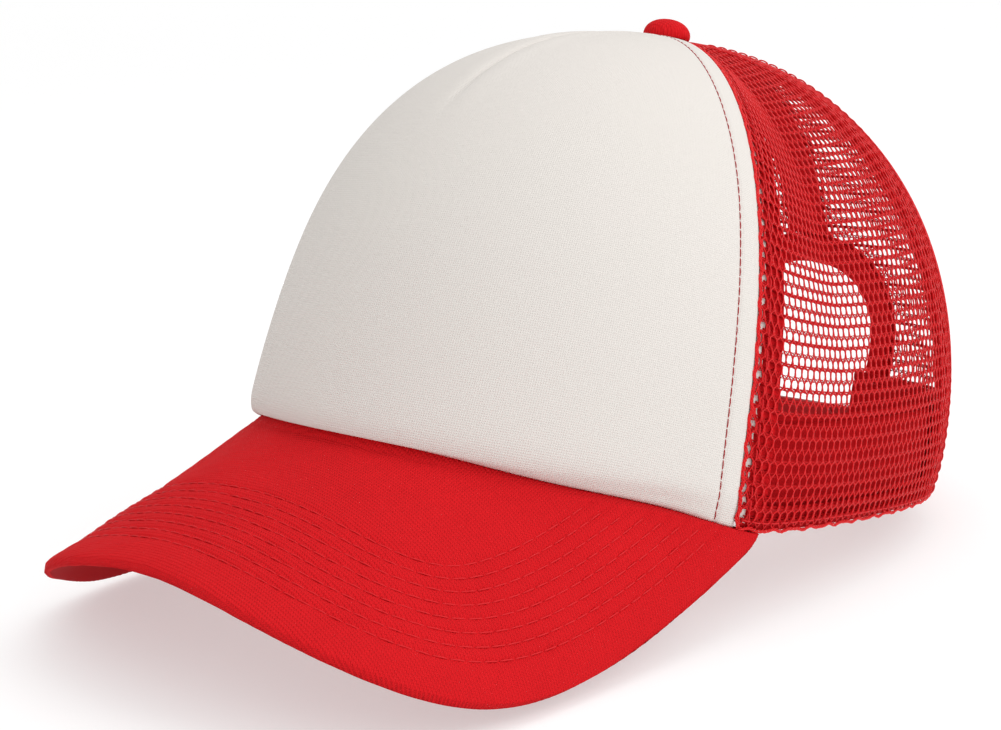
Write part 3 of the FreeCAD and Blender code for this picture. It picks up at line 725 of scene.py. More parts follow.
def net_mesh(middle, inside, inset, tall, phase=(0.0, 0.0), radius=YARN_RADIUS, jitter=None):
    """Net laid over the crown from a panel's middle meridian and cut where inside() says."""
    jitter = jitter or np.random.default_rng(11)
    length = float(meridian_length(middle))
    paths = {}
    for path, lift, thick in net_chains(NET_HALF_WIDTH, tall, jitter):
        across, up = path[:, 0] + phase[0], path[:, 1] + phase[1]
        rise = np.clip(up / length, 0.0, 1.0)
        across = across * (NET_SPREAD - NET_GATHER * smooth(rise / 0.95))
        angle = middle + degrees_of(across, middle, rise)
        angle = middle + degrees_of(across, (middle + angle) / 2, rise)
        keep = inside(angle, rise) & (up >= hem_height(angle) + 0.2) & (up <= tall) & (rise < PANEL_TOP)
        keep &= np.abs(angle - middle) < 60.0
        edges = np.flatnonzero(np.diff(np.concatenate([[0], keep.astype(int), [0]])))
        for first, last in zip(edges[::2], edges[1::2]):
            if last - first < 2:
                continue
            a, r = angle[first:last], rise[first:last]
            paths.setdefault(thick, []).append((crown(a, r, inset - lift), -inward(a, r)))
    made = [tubes(some, radius * thick, 4, YARN_DEPTH) for thick, some in paths.items() if thick != 1.0]
    # The level yarns' faces come first; they get the darker net finish, painted shade.
    painted_shade_faces = sum(len(faces) for _, faces in made)
    points, faces = joined(made + [tubes(paths[1.0], radius, 4, YARN_DEPTH)])
    return points, faces, painted_shade_faces


def hem_height(angle):
    """Height of the net's turned lower edge above the crown's base."""
    return 0.45 + 0.8 * smooth((np.abs(angle) - 90.0) / 50.0)


def seam_distance(angle, rise, seam):
    """Distance in millimetres from a seam, towards the back when positive."""
    return np.radians(angle - seam) * ring_radius(angle, rise)


def arch_point(turn, extra=0.0):
    """Outline of the rear opening in the XZ plane, from 0 at the left foot to pi at the right."""
    turn = np.asarray(turn, float)
    climb = math.pi / 2 - np.abs(turn - math.pi / 2)
    wide = ARCH_HALF_WIDTH + extra
    swing = np.clip((climb - ARCH_SIDE_TURN) / (math.pi / 2 - ARCH_SIDE_TURN), 0.0, 1.0) * math.pi / 2
    part = np.clip(climb / ARCH_SIDE_TURN, 0.0, 1.0)
    upper_x = wide * np.maximum(np.cos(swing), 0.0) ** (2.0 / ARCH_POWER)
    upper_z = ARCH_WIDEST + (ARCH_HEIGHT + extra - ARCH_WIDEST) * np.sin(swing) ** (2.0 / ARCH_POWER)
    foot = ARCH_FOOT_HALF_WIDTH + extra
    lower_x = foot + (wide - foot) * smooth(part)
    upper = climb > ARCH_SIDE_TURN
    x = np.where(upper, upper_x, lower_x)
    z = np.where(upper, upper_z, ARCH_WIDEST * part)
    return np.where(turn > math.pi / 2, -x, x), z


arch_x, arch_z = arch_point(np.linspace(0.0, math.pi / 2, 120), 0.6)


def outside_arch(angle, rise):
    """True where the back wall isn't cut away for the rear opening."""
    point = looked_up(POINTS, angle, rise)
    reach = np.interp(point[..., 2], arch_z, arch_x, right=0.0)
    reach = np.where(point[..., 2] > arch_z[-1], 0.0, reach)
    return np.abs(point[..., 0]) > reach


def net_object(name, points, faces, painted_shade_faces):
    """Net whose level yarns, its first faces, lie deeper than the snaking ones and get a darker copy of the
    yarn finish as painted shade.
    """
    piece = mesh_object(name, points, faces, net_yarn, slot="mesh_knit")
    second_material(piece, net_yarn_painted_shade, 0, painted_shade_faces)
    return piece


def net_area(edges, first=0.0, last=0.0, fold=False):
    """Test for the part of the crown that a net covers, or only the fold along its edges."""
    def inside(angle, rise):
        front, back, there = edges(angle, rise)
        strip = (front < TURNED_EDGE) | (back > -TURNED_EDGE) | (rise * meridian_length(angle) < TURNED_EDGE)
        return there & (front > first) & (back < -last) & (strip | (not fold))
    return inside


for side, word in ((1, "left"), (-1, "right")):
    def side_edges(angle, rise, side=side):
        turned = angle * side
        return (seam_distance(turned, rise, front_seam(rise)),
                seam_distance(turned, rise, BACK_SEAM_ANGLE), True)

    def back_edges(angle, rise, side=side):
        turned = (angle * side) % 360.0
        return (seam_distance(turned, rise, BACK_SEAM_ANGLE), seam_distance(turned, rise, 180.0),
                outside_arch(angle, rise))

    for name, mid, edges, first in (
        (f"{word}_side_net", side * (front_seam(0.3) + BACK_SEAM_ANGLE) / 2, side_edges, 1.4),
        (f"{word}_back_net", side * (BACK_SEAM_ANGLE + 180.0) / 2, back_edges, 0.2),
    ):
        tall = float(meridian_length(mid)) * PANEL_TOP
        main = net_mesh(mid, net_area(edges), 0.45, tall)
        fold = net_area(edges, first, 0.2, True)
        under = net_mesh(mid, fold, 0.85, tall, (0.5, 0.7), 0.14, np.random.default_rng(23))
        net = net_object(name, *main)
        net_object(name + "_turned_edge", *under)
        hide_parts(name.replace("net", "mesh"))


def bumpy_roll(angle, rise, inset, radius, step, seed):
    """The folded edge of the net: a roll of yarn loops along a line."""
    line = resampled(np.concatenate([crown(angle, rise, inset), -inward(angle, rise)], 1), 0.7)
    points, normals = line[:, :3], unit(line[:, 3:])
    side = np.cross(unit(np.gradient(points, axis=0)), normals)
    phase = np.arange(len(points)) * 0.7 / step * 2 * math.pi
    jitter = np.random.default_rng(seed).normal(0.0, 0.2, len(points))
    points = points + side * (0.28 * np.sin(phase * 0.5 + 1.3) + 0.15 * np.sin(phase * 0.83))[:, None]
    loops = []
    for turn in (0.0, 2 * math.pi / 3, 4 * math.pi / 3):
        swing = phase + turn + jitter
        shifted = points + radius * (np.cos(swing)[:, None] * side + 0.6 * np.sin(swing)[:, None] * normals)
        loops.append((shifted, normals))
    return tubes(loops, radius * 0.62, 5)


rolls = []
for side in (1, -1):
    rise = np.linspace(0.0, PANEL_TOP, 260)
    angle = side * (front_seam(rise) + degrees_of(0.45, 70.0, rise))
    rolls.append(bumpy_roll(angle, rise, 0.4, 0.4, 3.03, 3))
    for sense, step, seed in ((-1, 4.6, 4), (1, 4.4, 5)):
        angle = side * (BACK_SEAM_ANGLE + sense * degrees_of(0.4, 122.0, rise))
        rolls.append(bumpy_roll(angle, rise, 0.85, 0.2, step, seed))
mesh_object("net_seam_folds", *joined(rolls), net_yarn, slot="mesh_knit")

angle = np.linspace(front_seam(0.0) + 0.6, 168.0, 300)
hem_rise = hem_height(angle) / meridian_length(angle)
hems = [bumpy_roll(side * angle, hem_rise, 0.5, 0.36, 3.8, 6) for side in (1, -1)]
mesh_object("net_hem_fold", *joined(hems), net_yarn, slot="mesh_knit")
facings = []
for side in (1, -1):
    share, climb = grid(angle, np.linspace(0.0, 5.8, 5))
    rise = (hem_height(share) + climb) / meridian_length(share)
    facings.append(shell(crown(side * share, rise, 1.25), crown(side * share, rise, 1.7)))
points, faces = joined(facings)
mesh_object("net_hem_facing", points, faces, pad_cloth, slot="sweatband_cloth",
            uv=points[:, ::2].copy())
paths = []
for side in (1, -1):
    rise = 2.6 / meridian_length(angle)
    paths += stitch_paths(crown(side * angle, rise, 0.1), -inward(side * angle, rise), 3.4)
    for seam, offset in ((BACK_SEAM_ANGLE, -6.0), (BACK_SEAM_ANGLE, 6.0)):
        line = lambda r, side=side, seam=seam, offset=offset: side * (seam + degrees_of(offset, seam, r))
        paths += seam_row(line, 0.012, 0.93, on_surface)
    line = lambda r, side=side: side * (front_seam(r) + degrees_of(3.6, 68.0, r))
    paths += seam_row(line, 0.012, 0.93, on_surface)
    rise_start = float(rise_at_height(180.0, ARCH_HEIGHT + BINDING_WIDTH))
    line = lambda r, side=side: side * (180.0 - degrees_of(6.0, 180.0, r))
    paths += seam_row(line, rise_start, 0.93, on_surface)
mesh_object("net_topstitching", *tubes(paths, STITCH_RADIUS, 6), red_thread, slot="tape_cloth")


# ---- Tapes over the seams, inside ----

def tape_face(angle, rise):
    """Inset of the stitches that hold a seam tape."""
    return wall_thickness(angle, rise) + LAYER_GAP + TAPE_THICK - 0.12


def seam_tape(name, node, seam, first, last):
    share, rise = grid(np.linspace(-1.0, 1.0, 19), np.linspace(first, last, 131))
    middle = seam(rise)
    half = np.minimum(degrees_of(TAPE_WIDTH / 2, middle, rise), 55.0)
    angle = middle + share * half
    top = wall_thickness(angle, rise) + LAYER_GAP
    centre = 0.18 * np.exp(-(share / 0.16) ** 2)
    rows = 0.16 * np.exp(-((np.abs(share) - 0.68) / 0.09) ** 2)
    outer = crown(angle, rise, top)
    inner = crown(angle, rise, top + TAPE_THICK + centre - rows)
    points, faces = shell(outer, inner)
    uv = shell_uv(share * TAPE_WIDTH / 2, rise * 180.0)
    piece = mesh_object(name, points, faces, tape_cloth, slot="tape_cloth", uv=uv)
    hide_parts(node)
    paths = []
    for edge in (-0.68, 0.68):
        line = lambda r: seam(r) + edge * np.minimum(degrees_of(TAPE_WIDTH / 2, seam(r), r), 55.0)
        paths += seam_row(line, first + 0.01, last - 0.01, tape_face, sense=1.0)
    return paths


thread_paths = []
for side, word in ((1, "left"), (-1, "right")):
    def front(rise, side=side):
        shift = FRONT_TAPE_SHIFT * (1.0 - smooth((rise - 0.7) / 0.2))
        return side * (front_seam(rise) + degrees_of(shift, 68.0, rise))

    def back(rise, side=side):
        return side * BACK_SEAM_ANGLE + 0.0 * rise

    for place, seam in (("front", front), ("back", back)):
        node = f"{word}_{place}_seam_tape"
        thread_paths += seam_tape(node + "_cloth", node, seam, *TAPE_RANGE)
arch_rise = float(rise_at_height(180.0, ARCH_HEIGHT + BINDING_WIDTH + 1.0))
thread_paths += seam_tape("centre_back_tape_cloth", "centre_back_seam_tape", lambda r: 180.0 + 0.0 * r,
                          arch_rise, TAPE_RANGE[1])
thread_paths += seam_tape("front_dart_tape_cloth", "front_dart_seam_tape", lambda r: 0.0 * r,
                          DART_START, TAPE_RANGE[1])


# ---- Binding round the rear opening ----

def rear_place(x, z, inset):
    angle = 180.0 - np.degrees(np.arcsin(np.clip(x / HALF_WIDTH, -1.0, 1.0)))
    for _ in range(12):
        rise = rise_at_height(angle, z)
        angle = 180.0 - np.degrees(np.arcsin(np.clip(x / ring_radius(angle, rise), -0.99, 0.99)))
    return crown(angle, rise, inset)


section = [
    (BINDING_WIDTH, -BINDING_GAP - 0.25),
    (BINDING_WIDTH - 0.5, -BINDING_GAP - 0.62),
    (BINDING_WIDTH * 0.75, -BINDING_GAP - 0.55),
    (BINDING_WIDTH * 0.5, -BINDING_GAP - 0.7),
    (BINDING_WIDTH * 0.25, -BINDING_GAP - 0.75),
    (-0.2, -BINDING_GAP - 0.62),
    (-0.85, -BINDING_GAP - 0.1),
    (-0.98, MESH_THICK * 0.5),
    (-0.85, MESH_THICK + 0.35),
    (-0.2, MESH_THICK + 0.85),
    (BINDING_WIDTH * 0.25, MESH_THICK + 0.97),
    (BINDING_WIDTH * 0.5, MESH_THICK + 0.93),
    (BINDING_WIDTH * 0.75, MESH_THICK + 0.8),
    (BINDING_WIDTH - 0.5, MESH_THICK + 0.85),
    (BINDING_WIDTH, MESH_THICK + 0.5),
    (BINDING_WIDTH - 0.3, MESH_THICK + 0.25),
    (-0.2, MESH_THICK + 0.25),
    (-0.25, 0.0),
    (BINDING_WIDTH - 0.3, 0.0),
]
turns = np.linspace(0.02, math.pi - 0.02, 181)
loops = []
for extra, inset in section:
    x, z = arch_point(turns, extra)
    loops.append(rear_place(x, z, inset))
loops = np.array(loops).transpose(1, 0, 2)
points, faces = loops.reshape(-1, 3), ring_faces(*loops.shape[:2])
length_along = path_lengths(loops[:, 0])
uv = np.stack(np.broadcast_arrays(length_along[:, None], np.array([e for e, _ in section])[None]), -1)
binding = mesh_object("rear_opening_binding", points, faces, tape_cloth, slot="tape_cloth",
                      uv=uv.reshape(-1, 2))
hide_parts("arch_binding")
for extra, inset, sense in ((6.2, -BINDING_GAP - 0.62, -1.0), (6.2, MESH_THICK + 0.88, 1.0)):
    x, z = arch_point(turns[2:-2], extra)
    points = rear_place(x, z, inset)
    behind = rear_place(x, z, inset + sense)
    thread_paths += stitch_paths(points, behind - points, STITCH_LENGTH)


# ---- Sweatband ----

def band_grid(gap, low, high, columns, rows, ripple):
    angle, height = grid(
        np.linspace(-BAND_END_ANGLE, BAND_END_ANGLE, columns), np.linspace(low, high, rows))
    rise = rise_at_height(angle, looked_up(POINTS, angle, 0.0)[..., 2] + height)
    wave = ripple * np.sin(np.radians(angle) * 23.0) * np.sin(height * 0.19)
    return angle, height, rise, crown(angle, rise, band_inset(angle) + gap + wave)


angle, height, _, outer = band_grid(0.05, BAND_LIFT + 2.0, BAND_LIFT + BAND_HEIGHT - 2.0, 181, 9, 0.0)
_, _, _, inner = band_grid(PADDING_THICK, BAND_LIFT + 2.0, BAND_LIFT + BAND_HEIGHT - 2.0, 181, 9, 0.0)
padding = mesh_object("sweatband_pad", *shell(outer, inner), pad_cloth, slot="sweatband_cloth",
                      uv=shell_uv(np.radians(angle) * BAND_RADIUS, height))
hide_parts("sweatband_padding")

top = BAND_LIFT + BAND_HEIGHT
angle, height, rise, outer = band_grid(PADDING_THICK + LAYER_GAP, BAND_LIFT, top, 421, 31, 0.1)
valley = 0.5 * np.exp(-((height - top + 3.0) / 0.8) ** 2)
swell = 0.7 * np.sin(math.pi * np.clip((height - BAND_LIFT) / BAND_HEIGHT, 0, 1)) ** 0.6
ripple = 0.1 * np.sin(np.radians(angle) * 23.0) * np.sin(height * 0.19)
inset = band_inset(angle) + PADDING_THICK + LAYER_GAP + BAND_CLOTH_THICK
inner = crown(angle, rise, inset - valley + swell * 0.5 + ripple)
points, faces = shell(outer, inner)
uv = shell_uv(np.radians(angle) * BAND_RADIUS, height)
band = mesh_object("sweatband_twill", points, faces, band_cloth, slot="sweatband_cloth", uv=uv)
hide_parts("sweatband_cloth")
edge_angle = np.linspace(-BAND_END_ANGLE + 1.0, BAND_END_ANGLE - 1.0, 500)
edge_rise = rise_at_height(edge_angle, looked_up(POINTS, edge_angle, 0.0)[..., 2] + top - 3.0)
inset = band_inset(edge_angle) + PADDING_THICK + LAYER_GAP + BAND_CLOTH_THICK - 0.2
thread_paths += stitch_paths(crown(edge_angle, edge_rise, inset), inward(edge_angle, edge_rise),
                             STITCH_LENGTH)
mesh_object("inside_stitching", *tubes(thread_paths, STITCH_RADIUS, 6), red_thread, slot="tape_cloth")


# ---- Visor ----

def visor_outline(share):
    corner = crown(VISOR_CORNER_ANGLE, 0.0, 0.0)
    turn = share * math.pi / 2
    side = np.abs(np.sin(turn))
    spread = VISOR_HALF_WIDTH * side ** VISOR_CURVE_POWERS[0]
    spread = spread + (corner[0] - VISOR_HALF_WIDTH) * side ** 8
    y = corner[1] - (VISOR_REACH + corner[1]) * np.abs(np.cos(turn)) ** VISOR_CURVE_POWERS[1]
    return np.copysign(spread, share), y


def visor_height(x, y):
    ahead = (-FRONT_REACH - y) / VISOR_LENGTH
    power = VISOR_DROP_POWER[0] + VISOR_DROP_POWER[1] * ahead
    growth = 1.0 + VISOR_DROP_GROWTH[0] * ahead + VISOR_DROP_GROWTH[1] * ahead * ahead
    drop = VISOR_DROP * growth * (np.abs(x) / VISOR_DROP_X) ** power
    slope = math.tan(math.radians(VISOR_SLOPE)) * VISOR_LENGTH * ahead
    return FRONT_ARCH_RISE - drop - slope + VISOR_LIFT * ahead * ahead


def visor_surface(share, out):
    """Top of the visor; out runs from 0 at the crown to 1 at the outer edge, below 0 under it."""
    base = crown(share * VISOR_CORNER_ANGLE, 0.0, 0.0)
    base[..., 2] -= VISOR_GAP
    outer_x, outer_y = visor_outline(share)
    spread = np.clip(out, 0.0, 1.0)
    x = base[..., 0] * (1.0 - spread) + outer_x * spread
    y = base[..., 1] * (1.0 - spread) + outer_y * spread
    match = base[..., 2] - visor_height(base[..., 0], base[..., 1])
    point = np.stack([x, y, visor_height(x, y) + match * (1.0 - spread) ** 2], -1)
    bend = smooth((np.abs(x) - TIP_BEND_START) / 22.0) * smooth((-y - 118.0) / 30.0) * (x < 0.0)
    corner = np.exp(-((x + TIP_CORNER[0]) ** 2 + (y + TIP_CORNER[1]) ** 2) / TIP_CORNER_RADIUS ** 2)
    drop = smooth((-x - 25.0) / 25.0) * smooth((y + 130.0) / 20.0) * smooth(spread * 2.5)
    point[..., 2] -= FAR_SIDE_DROP * drop
    point[..., 0] -= NEAR_SIDE_TUCK * smooth((x - 50.0) / 20.0) * spread ** 2
    point += bend[..., None] * np.array(TIP_BEND) + corner[..., None] * np.array(TIP_ROUNDING)
    under = crown(share * VISOR_CORNER_ANGLE, 0.0, np.maximum(-out, 0.0) * VISOR_TUCK)
    under[..., 2] -= VISOR_GAP
    return np.where((out < 0.0)[..., None], under, point)


def visor_place(share, out, inset):
    delta = 0.01
    near = np.clip(out, delta, 1.0 - delta)
    across = visor_surface(share + delta, near) - visor_surface(share - delta, near)
    along = visor_surface(share, near + delta) - visor_surface(share, near - delta)
    down = unit(np.cross(across, along))
    if down[..., 2].mean() > 0:
        down = -down
    return visor_surface(share, out) + down * np.asarray(inset)[..., None], down


def edge_distance(points):
    """Distance of each point from the visor's outer edge."""
    share = np.linspace(-VISOR_END, VISOR_END, 500)
    edge = visor_surface(share, np.ones(share.shape))
    flat = points.reshape(-1, 3)
    nearest = np.empty(len(flat))
    for first in range(0, len(flat), 4000):
        part = flat[first:first + 4000]
        nearest[first:first + 4000] = np.sqrt(((part[:, None] - edge[None]) ** 2).sum(-1)).min(1)
    return nearest.reshape(points.shape[:-1])


quilt_lines = QUILT_FIRST + QUILT_PITCH * np.arange(QUILT_ROWS)


def quilting(distance):
    """Depth of the channels that the stitch rows pull into the cloth."""
    gap = np.abs(distance[..., None] - quilt_lines).min(-1)
    return 0.58 * np.exp(-gap / 1.0)


steps = np.linspace(-1.0, 1.0, 301)
shares = np.copysign(np.abs(steps) ** 0.9, steps) * VISOR_END
outs = np.concatenate([np.linspace(-1.0, 0.0, 7)[:-1], np.linspace(0.0, 1.0, 111)])
share, out = grid(shares, outs)
distance = edge_distance(visor_surface(share, np.clip(out, 0.0, 1.0)))
lip = np.exp(-distance / 1.1)
wrinkle = 0.08 * np.sin(share * 61.0 + out * 17.0) * np.sin(out * 43.0 + share * 9.0)
depth = quilting(distance) * (out > 0.0)
upper, down = visor_place(share, out, depth + wrinkle + 0.55 * lip)
lower, _ = visor_place(share, out, VISOR_THICK - 0.6 * depth - 0.6 * lip)
points, faces = shell(upper, lower, 0.5)
aside = np.maximum(np.abs(upper[..., 0]), 5.0)
fall = (visor_height(0.0 * upper[..., 0], upper[..., 1]) - upper[..., 2]) / aside
uv = np.stack([upper[..., 0] * (1.0 + 0.67 * fall ** 2), upper[..., 1]], -1).reshape(-1, 2)
edge_uv = uv[border(*share.shape)]
edge_uv = edge_uv + unit(edge_uv - np.array(VISOR_MIDDLE)) * VISOR_THICK * 0.6
uv = np.concatenate([uv, uv, edge_uv])
visor = mesh_object("visor_cover", points, faces, visor_cloth, slot="visor_cloth", uv=uv)
quads = (out.shape[0] - 1) * (out.shape[1] - 1)
# The visor's under face gets the darker copy of its cloth: painted shade.
second_material(visor, visor_under_painted_shade_cloth, quads, 2 * quads)
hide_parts("visor_top_fabric", "visor_under_fabric", "visor_board")

paths = []
fine_shares = np.linspace(-VISOR_END, VISOR_END, 401)
fine_outs = np.linspace(0.0, 1.0, 141)
share, out = grid(fine_shares, fine_outs)
distance = edge_distance(visor_surface(share, out))
for line in quilt_lines:
    row_share, row_out = [], []
    for index in range(len(fine_shares)):
        column = distance[index][::-1]
        if column.max() > line:
            row_share.append(fine_shares[index])
            row_out.append(np.interp(line, column, fine_outs[::-1]))
    row_share, row_out = np.array(row_share), np.array(row_out)
    above, down = visor_place(row_share, row_out, np.full(row_share.shape, 0.5))
    paths += stitch_paths(above, -down, 4.2, 0.15, 0.17)
    below, down = visor_place(row_share, row_out, np.full(row_share.shape, VISOR_THICK - 0.2))
    paths += stitch_paths(below, down, 5.0, 0.4, 0.2)
mesh_object("visor_stitching", *tubes(paths, STITCH_RADIUS, 6), red_thread, slot="visor_cloth")


# ---- Snap straps ----

def strap_up():
    lean = math.radians(STRAP_LEAN)
    return np.array([0.0, math.sin(lean), math.cos(lean)])


run_angles = np.linspace(180.0, 120.0, 601)
run_points = crown(run_angles, 0.0, 0.0)
run_lengths = path_lengths(run_points)


def strap_place(along, height, inset):
    """Point of a strap from its length along the hem, its height up the leaning strap and its inset."""
    along, height = paired(along, height)
    angle = np.copysign(np.interp(np.abs(along), run_lengths, run_angles), along)
    point = crown(angle, 0.0, 0.0)
    flat = inward(angle, np.zeros(angle.shape))
    flat[..., 2] = 0.0
    point[..., 2] = 0.0
    return point + unit(flat) * np.asarray(inset)[..., None] + strap_up() * (STRAP_LIFT + height)[..., None]


def strap_outline(tip, root, facing):
    """Outline in (along, height): a rounded free tip and a square sewn end."""
    radius = STRAP_HEIGHT / 2
    turns = np.linspace(-math.pi / 2, math.pi / 2, 25)
    arc = [(tip - facing * radius * (1.0 - math.cos(t)), radius * (1.0 + math.sin(t))) for t in turns]
    straight = np.linspace(arc[-1][0], root, 60)[1:]
    top = [(x, STRAP_HEIGHT) for x in straight]
    end = [(root, h) for h in np.linspace(STRAP_HEIGHT, 0.0, 12)[1:]]
    bottom = [(x, 0.0) for x in straight[::-1][1:]]
    return arc + top + end + bottom


def strap_mesh(name, tip, root, facing, inset, holes, nodes):
    outline = strap_outline(tip, root, facing)
    rings = [outline]
    for along in holes:
        turns = np.linspace(0.0, 2 * math.pi, 33)[:-1]
        rings.append([(along + HOLE_RADIUS * math.cos(t), STRAP_HEIGHT / 2 + HOLE_RADIUS * math.sin(t))
                      for t in turns])
    points, edges = [], []
    for ring in rings:
        start = len(points)
        points += ring
        edges += [(start + k, start + (k + 1) % len(ring)) for k in range(len(ring))]
    middle = tip - facing * STRAP_HEIGHT / 2

    def inside(x, h, margin):
        """True on the strap, clear of its holes and its round tip by margin."""
        up = h - STRAP_HEIGHT / 2
        if any(math.hypot(x - along, up) < HOLE_RADIUS + margin for along in holes):
            return False
        return (x - middle) * facing <= 0 or math.hypot(x - middle, up) <= STRAP_HEIGHT / 2 - margin

    low, high = min(tip, root), max(tip, root)
    for x in np.arange(low + 0.8, high - 0.5, 0.9):
        for h in np.arange(1.0, STRAP_HEIGHT - 0.5, 1.6):
            if inside(x, h, 0.6):
                points.append((x, h))
    flat = [Vector(point) for point in points]
    result = delaunay_2d_cdt(flat, edges, [], 0, 1e-5)
    flat, triangles = np.array([tuple(v) for v in result[0]]), result[2]
    keep = [list(face) for face in triangles if inside(*flat[list(face)].mean(0), 0.0)]
    sides = dict.fromkeys((face[k], face[(k + 1) % 3]) for face in keep for k in range(3))
    loops = [(a, b) for a, b in sides if (b, a) not in sides]
    rim = flat[sorted({a for a, _ in loops})]
    gap = np.array([np.sqrt(((rim - point) ** 2).sum(1)).min() for point in flat])
    soften = 0.28 * np.exp(-gap / 0.35)
    front = strap_place(flat[:, 0], flat[:, 1], inset + soften)
    back = strap_place(flat[:, 0], flat[:, 1], inset + STRAP_THICK - soften)
    count = len(flat)
    all_faces = keep + [[i + count for i in face[::-1]] for face in keep]
    all_faces += [[b, a, a + count, b + count] for a, b in loops]
    points = np.concatenate([front, back])
    piece = mesh_object(name, points, all_faces, strap_plastic, None, "strap_plastic")
    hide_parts(*nodes)
    side = 1.0 if root > 0 else -1.0
    start = strap_place(side * 22.0, STRAP_HEIGHT / 2, inset) * MM
    end = strap_place(side * 17.5, STRAP_HEIGHT / 2, inset) * MM
    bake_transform(piece)


hole_places = [FIRST_SNAP + SNAP_PITCH * index for index in range(SNAP_COUNT)]
last_peg = hole_places[-1]
peg_inset = HOLE_STRAP_INSET + STRAP_THICK + STRAP_GAP
strap_mesh("hole_strap_plastic", FIRST_SNAP - TIP_MARGIN, ROOT_ALONG + SEWN_END, -1.0,
           HOLE_STRAP_INSET, hole_places, ["hole_strap", "hole_strap_sewn_end"])
strap_mesh("peg_strap_plastic", last_peg + TIP_MARGIN, -(ROOT_ALONG + SEWN_END), 1.0,
           peg_inset, [], ["peg_strap", "peg_strap_sewn_end"])

pegs = []
profile = [(1.25, 0.3), (1.25, -1.1), (1.3, -1.5), (1.75, -1.8), (1.85, -2.15), (1.7, -2.5), (1.2, -2.72),
           (0.5, -2.82)]
for along in hole_places:
    centre = strap_place(along, STRAP_HEIGHT / 2, peg_inset)
    deeper = strap_place(along, STRAP_HEIGHT / 2, peg_inset + 1.0)
    axis = deeper - centre
    tangent = unit(np.cross(axis, strap_up()))
    axis = unit(np.cross(strap_up(), tangent))
    axis = axis if axis @ (deeper - centre) > 0 else -axis
    turns = np.linspace(0.0, 2 * math.pi, 25)[:-1]
    ring_points = []
    for radius, level in profile:
        ring_points.append(centre + axis * level + radius * (
            np.cos(turns)[:, None] * tangent + np.sin(turns)[:, None] * strap_up()))
    pegs.append((np.concatenate(ring_points), ring_faces(len(profile), len(turns))))
mesh_object("peg_strap_pegs", *joined(pegs), strap_plastic, "peg_strap", "strap_plastic")


# ---- Button ----

share, theta = grid(np.linspace(0.0, 1.0, 27), np.arange(72) * 2 * math.pi / 72)
turn = share * math.pi / 2 * 1.22
fold = 0.07 * smooth((share - 0.55) / 0.35) * np.cos(theta * 12)
radius = BUTTON_RADIUS * np.minimum(np.sin(turn) ** 0.9, 1.0) + fold
height = BUTTON_HEIGHT * np.maximum(np.cos(turn), -0.35)
height = np.where(height > 0.0, height, height * 0.8)
seat = CROWN_HEIGHT + 0.1
y, z = -radius * np.cos(theta), 1.0 + height * (BUTTON_HEIGHT - 1.0) / BUTTON_HEIGHT
tilt = math.radians(BUTTON_TILT)
points = np.stack([
    radius * np.sin(theta),
    APEX_BACK + y * math.cos(tilt) + z * math.sin(tilt),
    seat + z * math.cos(tilt) - y * math.sin(tilt),
], -1).reshape(-1, 3)
faces = [face[::-1] for face in ring_faces(*share.shape)]
del faces[-2]
button_cloth = mesh_object("button_cloth", points, faces, visor_cloth, slot="visor_cloth",
                           uv=points[:, :2].copy())
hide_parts("button_cover")
for name in ("button_shell", "button_post", "button_backing"):
    node = bpy.data.objects[name]
    for index in range(len(node.material_slots)):
        node.material_slots[index].material = button_metal

# ---- Floor, light and camera ----

world = bpy.data.worlds.new("white studio")
bpy.context.scene.world = world
world.use_nodes = True
background = next(node for node in world.node_tree.nodes if node.type == "BACKGROUND")
background.inputs["Color"].default_value = (1.0, 1.0, 1.0, 1.0)
toward = add(world.node_tree, "ShaderNodeTexCoord").outputs["Generated"]
facing = add(world.node_tree, "ShaderNodeVectorMath", [(0, toward)], operation="DOT_PRODUCT")
facing.inputs[1].default_value = Vector((-0.83, -0.49, -0.27)).normalized()
dimming = add(world.node_tree, "ShaderNodeMapRange", [("Value", facing.outputs["Value"])])
for key, value in (("From Min", 0.15), ("From Max", 0.95), ("To Min", 1.0), ("To Max", 0.35)):
    dimming.inputs[key].default_value = value
world.node_tree.links.new(dimming.outputs["Result"], background.inputs["Strength"])


def area_light(name, place, target, size, watts):
    light = bpy.data.lights.new(name, "AREA")
    light.shape = "DISK"
    light.size = size
    light.energy = watts
    lamp = in_scene(name, light)
    lamp.location = place
    lamp.rotation_euler = (Vector(target) - Vector(place)).to_track_quat("-Z", "Y").to_euler()


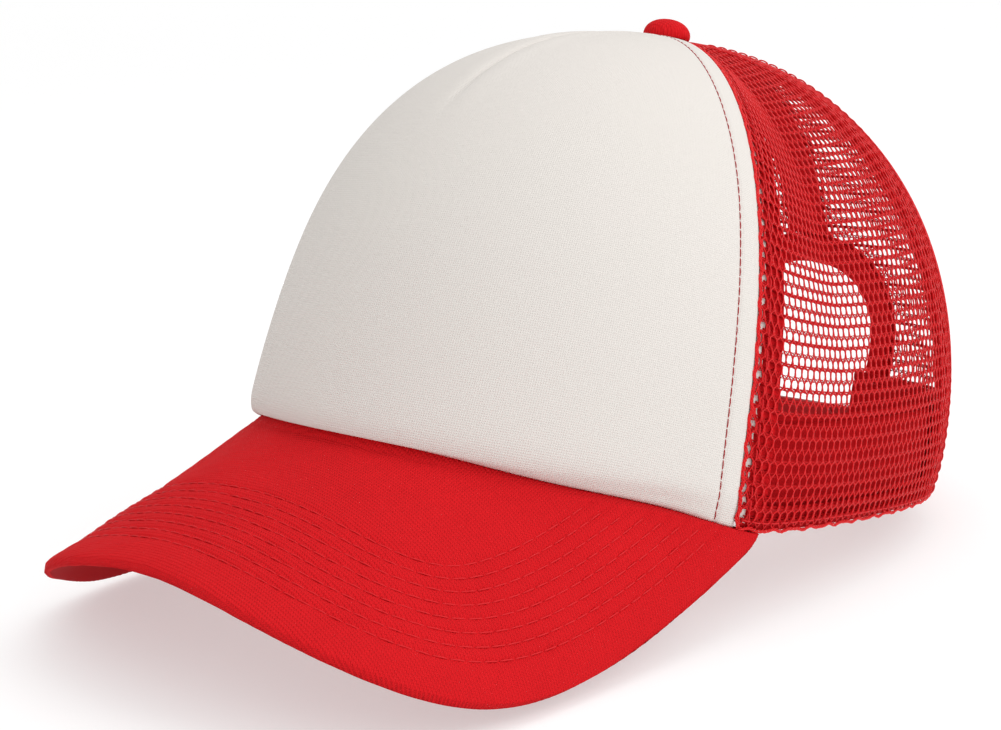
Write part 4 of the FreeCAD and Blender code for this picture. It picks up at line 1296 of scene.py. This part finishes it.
CAMERA_AZIMUTH = math.radians(41.98)
CAMERA_ELEVATION = math.radians(5.88)
CAMERA_ROLL = math.radians(4.0)
CAMERA_DISTANCE = 0.57407
CAMERA_AIM = (-0.02223, 0.03221)
CAMERA_LENS = 71.13
turned = (Matrix.Rotation(CAMERA_AZIMUTH, 4, "Z") @ Matrix.Rotation(math.pi / 2 - CAMERA_ELEVATION, 4, "X")
          @ Matrix.Rotation(CAMERA_ROLL, 4, "Z"))


def from_camera(aside, up, back):
    """Point in the scene from the camera's own axes, in metres."""
    return turned @ Vector((aside, up, back))


eye = from_camera(*CAMERA_AIM, CAMERA_DISTANCE)
lens = bpy.data.cameras.new("photo camera")
lens.lens = CAMERA_LENS
lens.sensor_width = 36.0
lens.sensor_fit = "HORIZONTAL"
lens.clip_start = 0.01
camera = in_scene("photo camera", lens)
camera.matrix_world = Matrix.Translation(eye) @ turned
bpy.context.scene.camera = camera

for name, place, size, watts in (
    ("key", eye + from_camera(0.8, 0.6, -0.1), 0.7, 2.2),
    ("fill", eye + from_camera(0.0, 0.4, 0.0), 0.9, 0.2),
    ("top", (0.1, 0.1, 1.2), 0.8, 1.6),
):
    area_light(name, place, (0.0, 0.0, 0.05), size, watts)

# The floor, in metres: it slopes up from the visor's tips to the crown's rear edge, just below both.
FLOOR_REACH = 30.0
FLOOR_GAP = 0.0035
TIPS_AHEAD = 0.111
REAR_BEHIND = 0.112
tips_low = min(vertex.co.z for vertex in visor.data.vertices)
slope = -tips_low / (TIPS_AHEAD + REAR_BEHIND)
corners = [(x * FLOOR_REACH, y * FLOOR_REACH, tips_low - FLOOR_GAP + (y * FLOOR_REACH + TIPS_AHEAD) * slope)
           for x, y in ((-1, -1), (1, -1), (1, 1), (-1, 1))]
floor_mesh = bpy.data.meshes.new("floor")
floor_mesh.from_pydata(corners, [], [(0, 1, 2, 3)])
floor_material, _, floor_shader = material("white floor")
floor_shader.inputs["Base Color"].default_value = (0.55, 0.55, 0.55, 1.0)
floor_shader.inputs["Emission Color"].default_value = (1.0, 1.0, 1.0, 1.0)
floor_shader.inputs["Emission Strength"].default_value = 0.46
floor_shader.inputs["Roughness"].default_value = 0.9
floor_mesh.materials.append(floor_material)
floor = in_scene("floor", floor_mesh)

bpy.context.scene.view_settings.view_transform = "Standard"
bpy.context.scene.view_settings.look = "None"
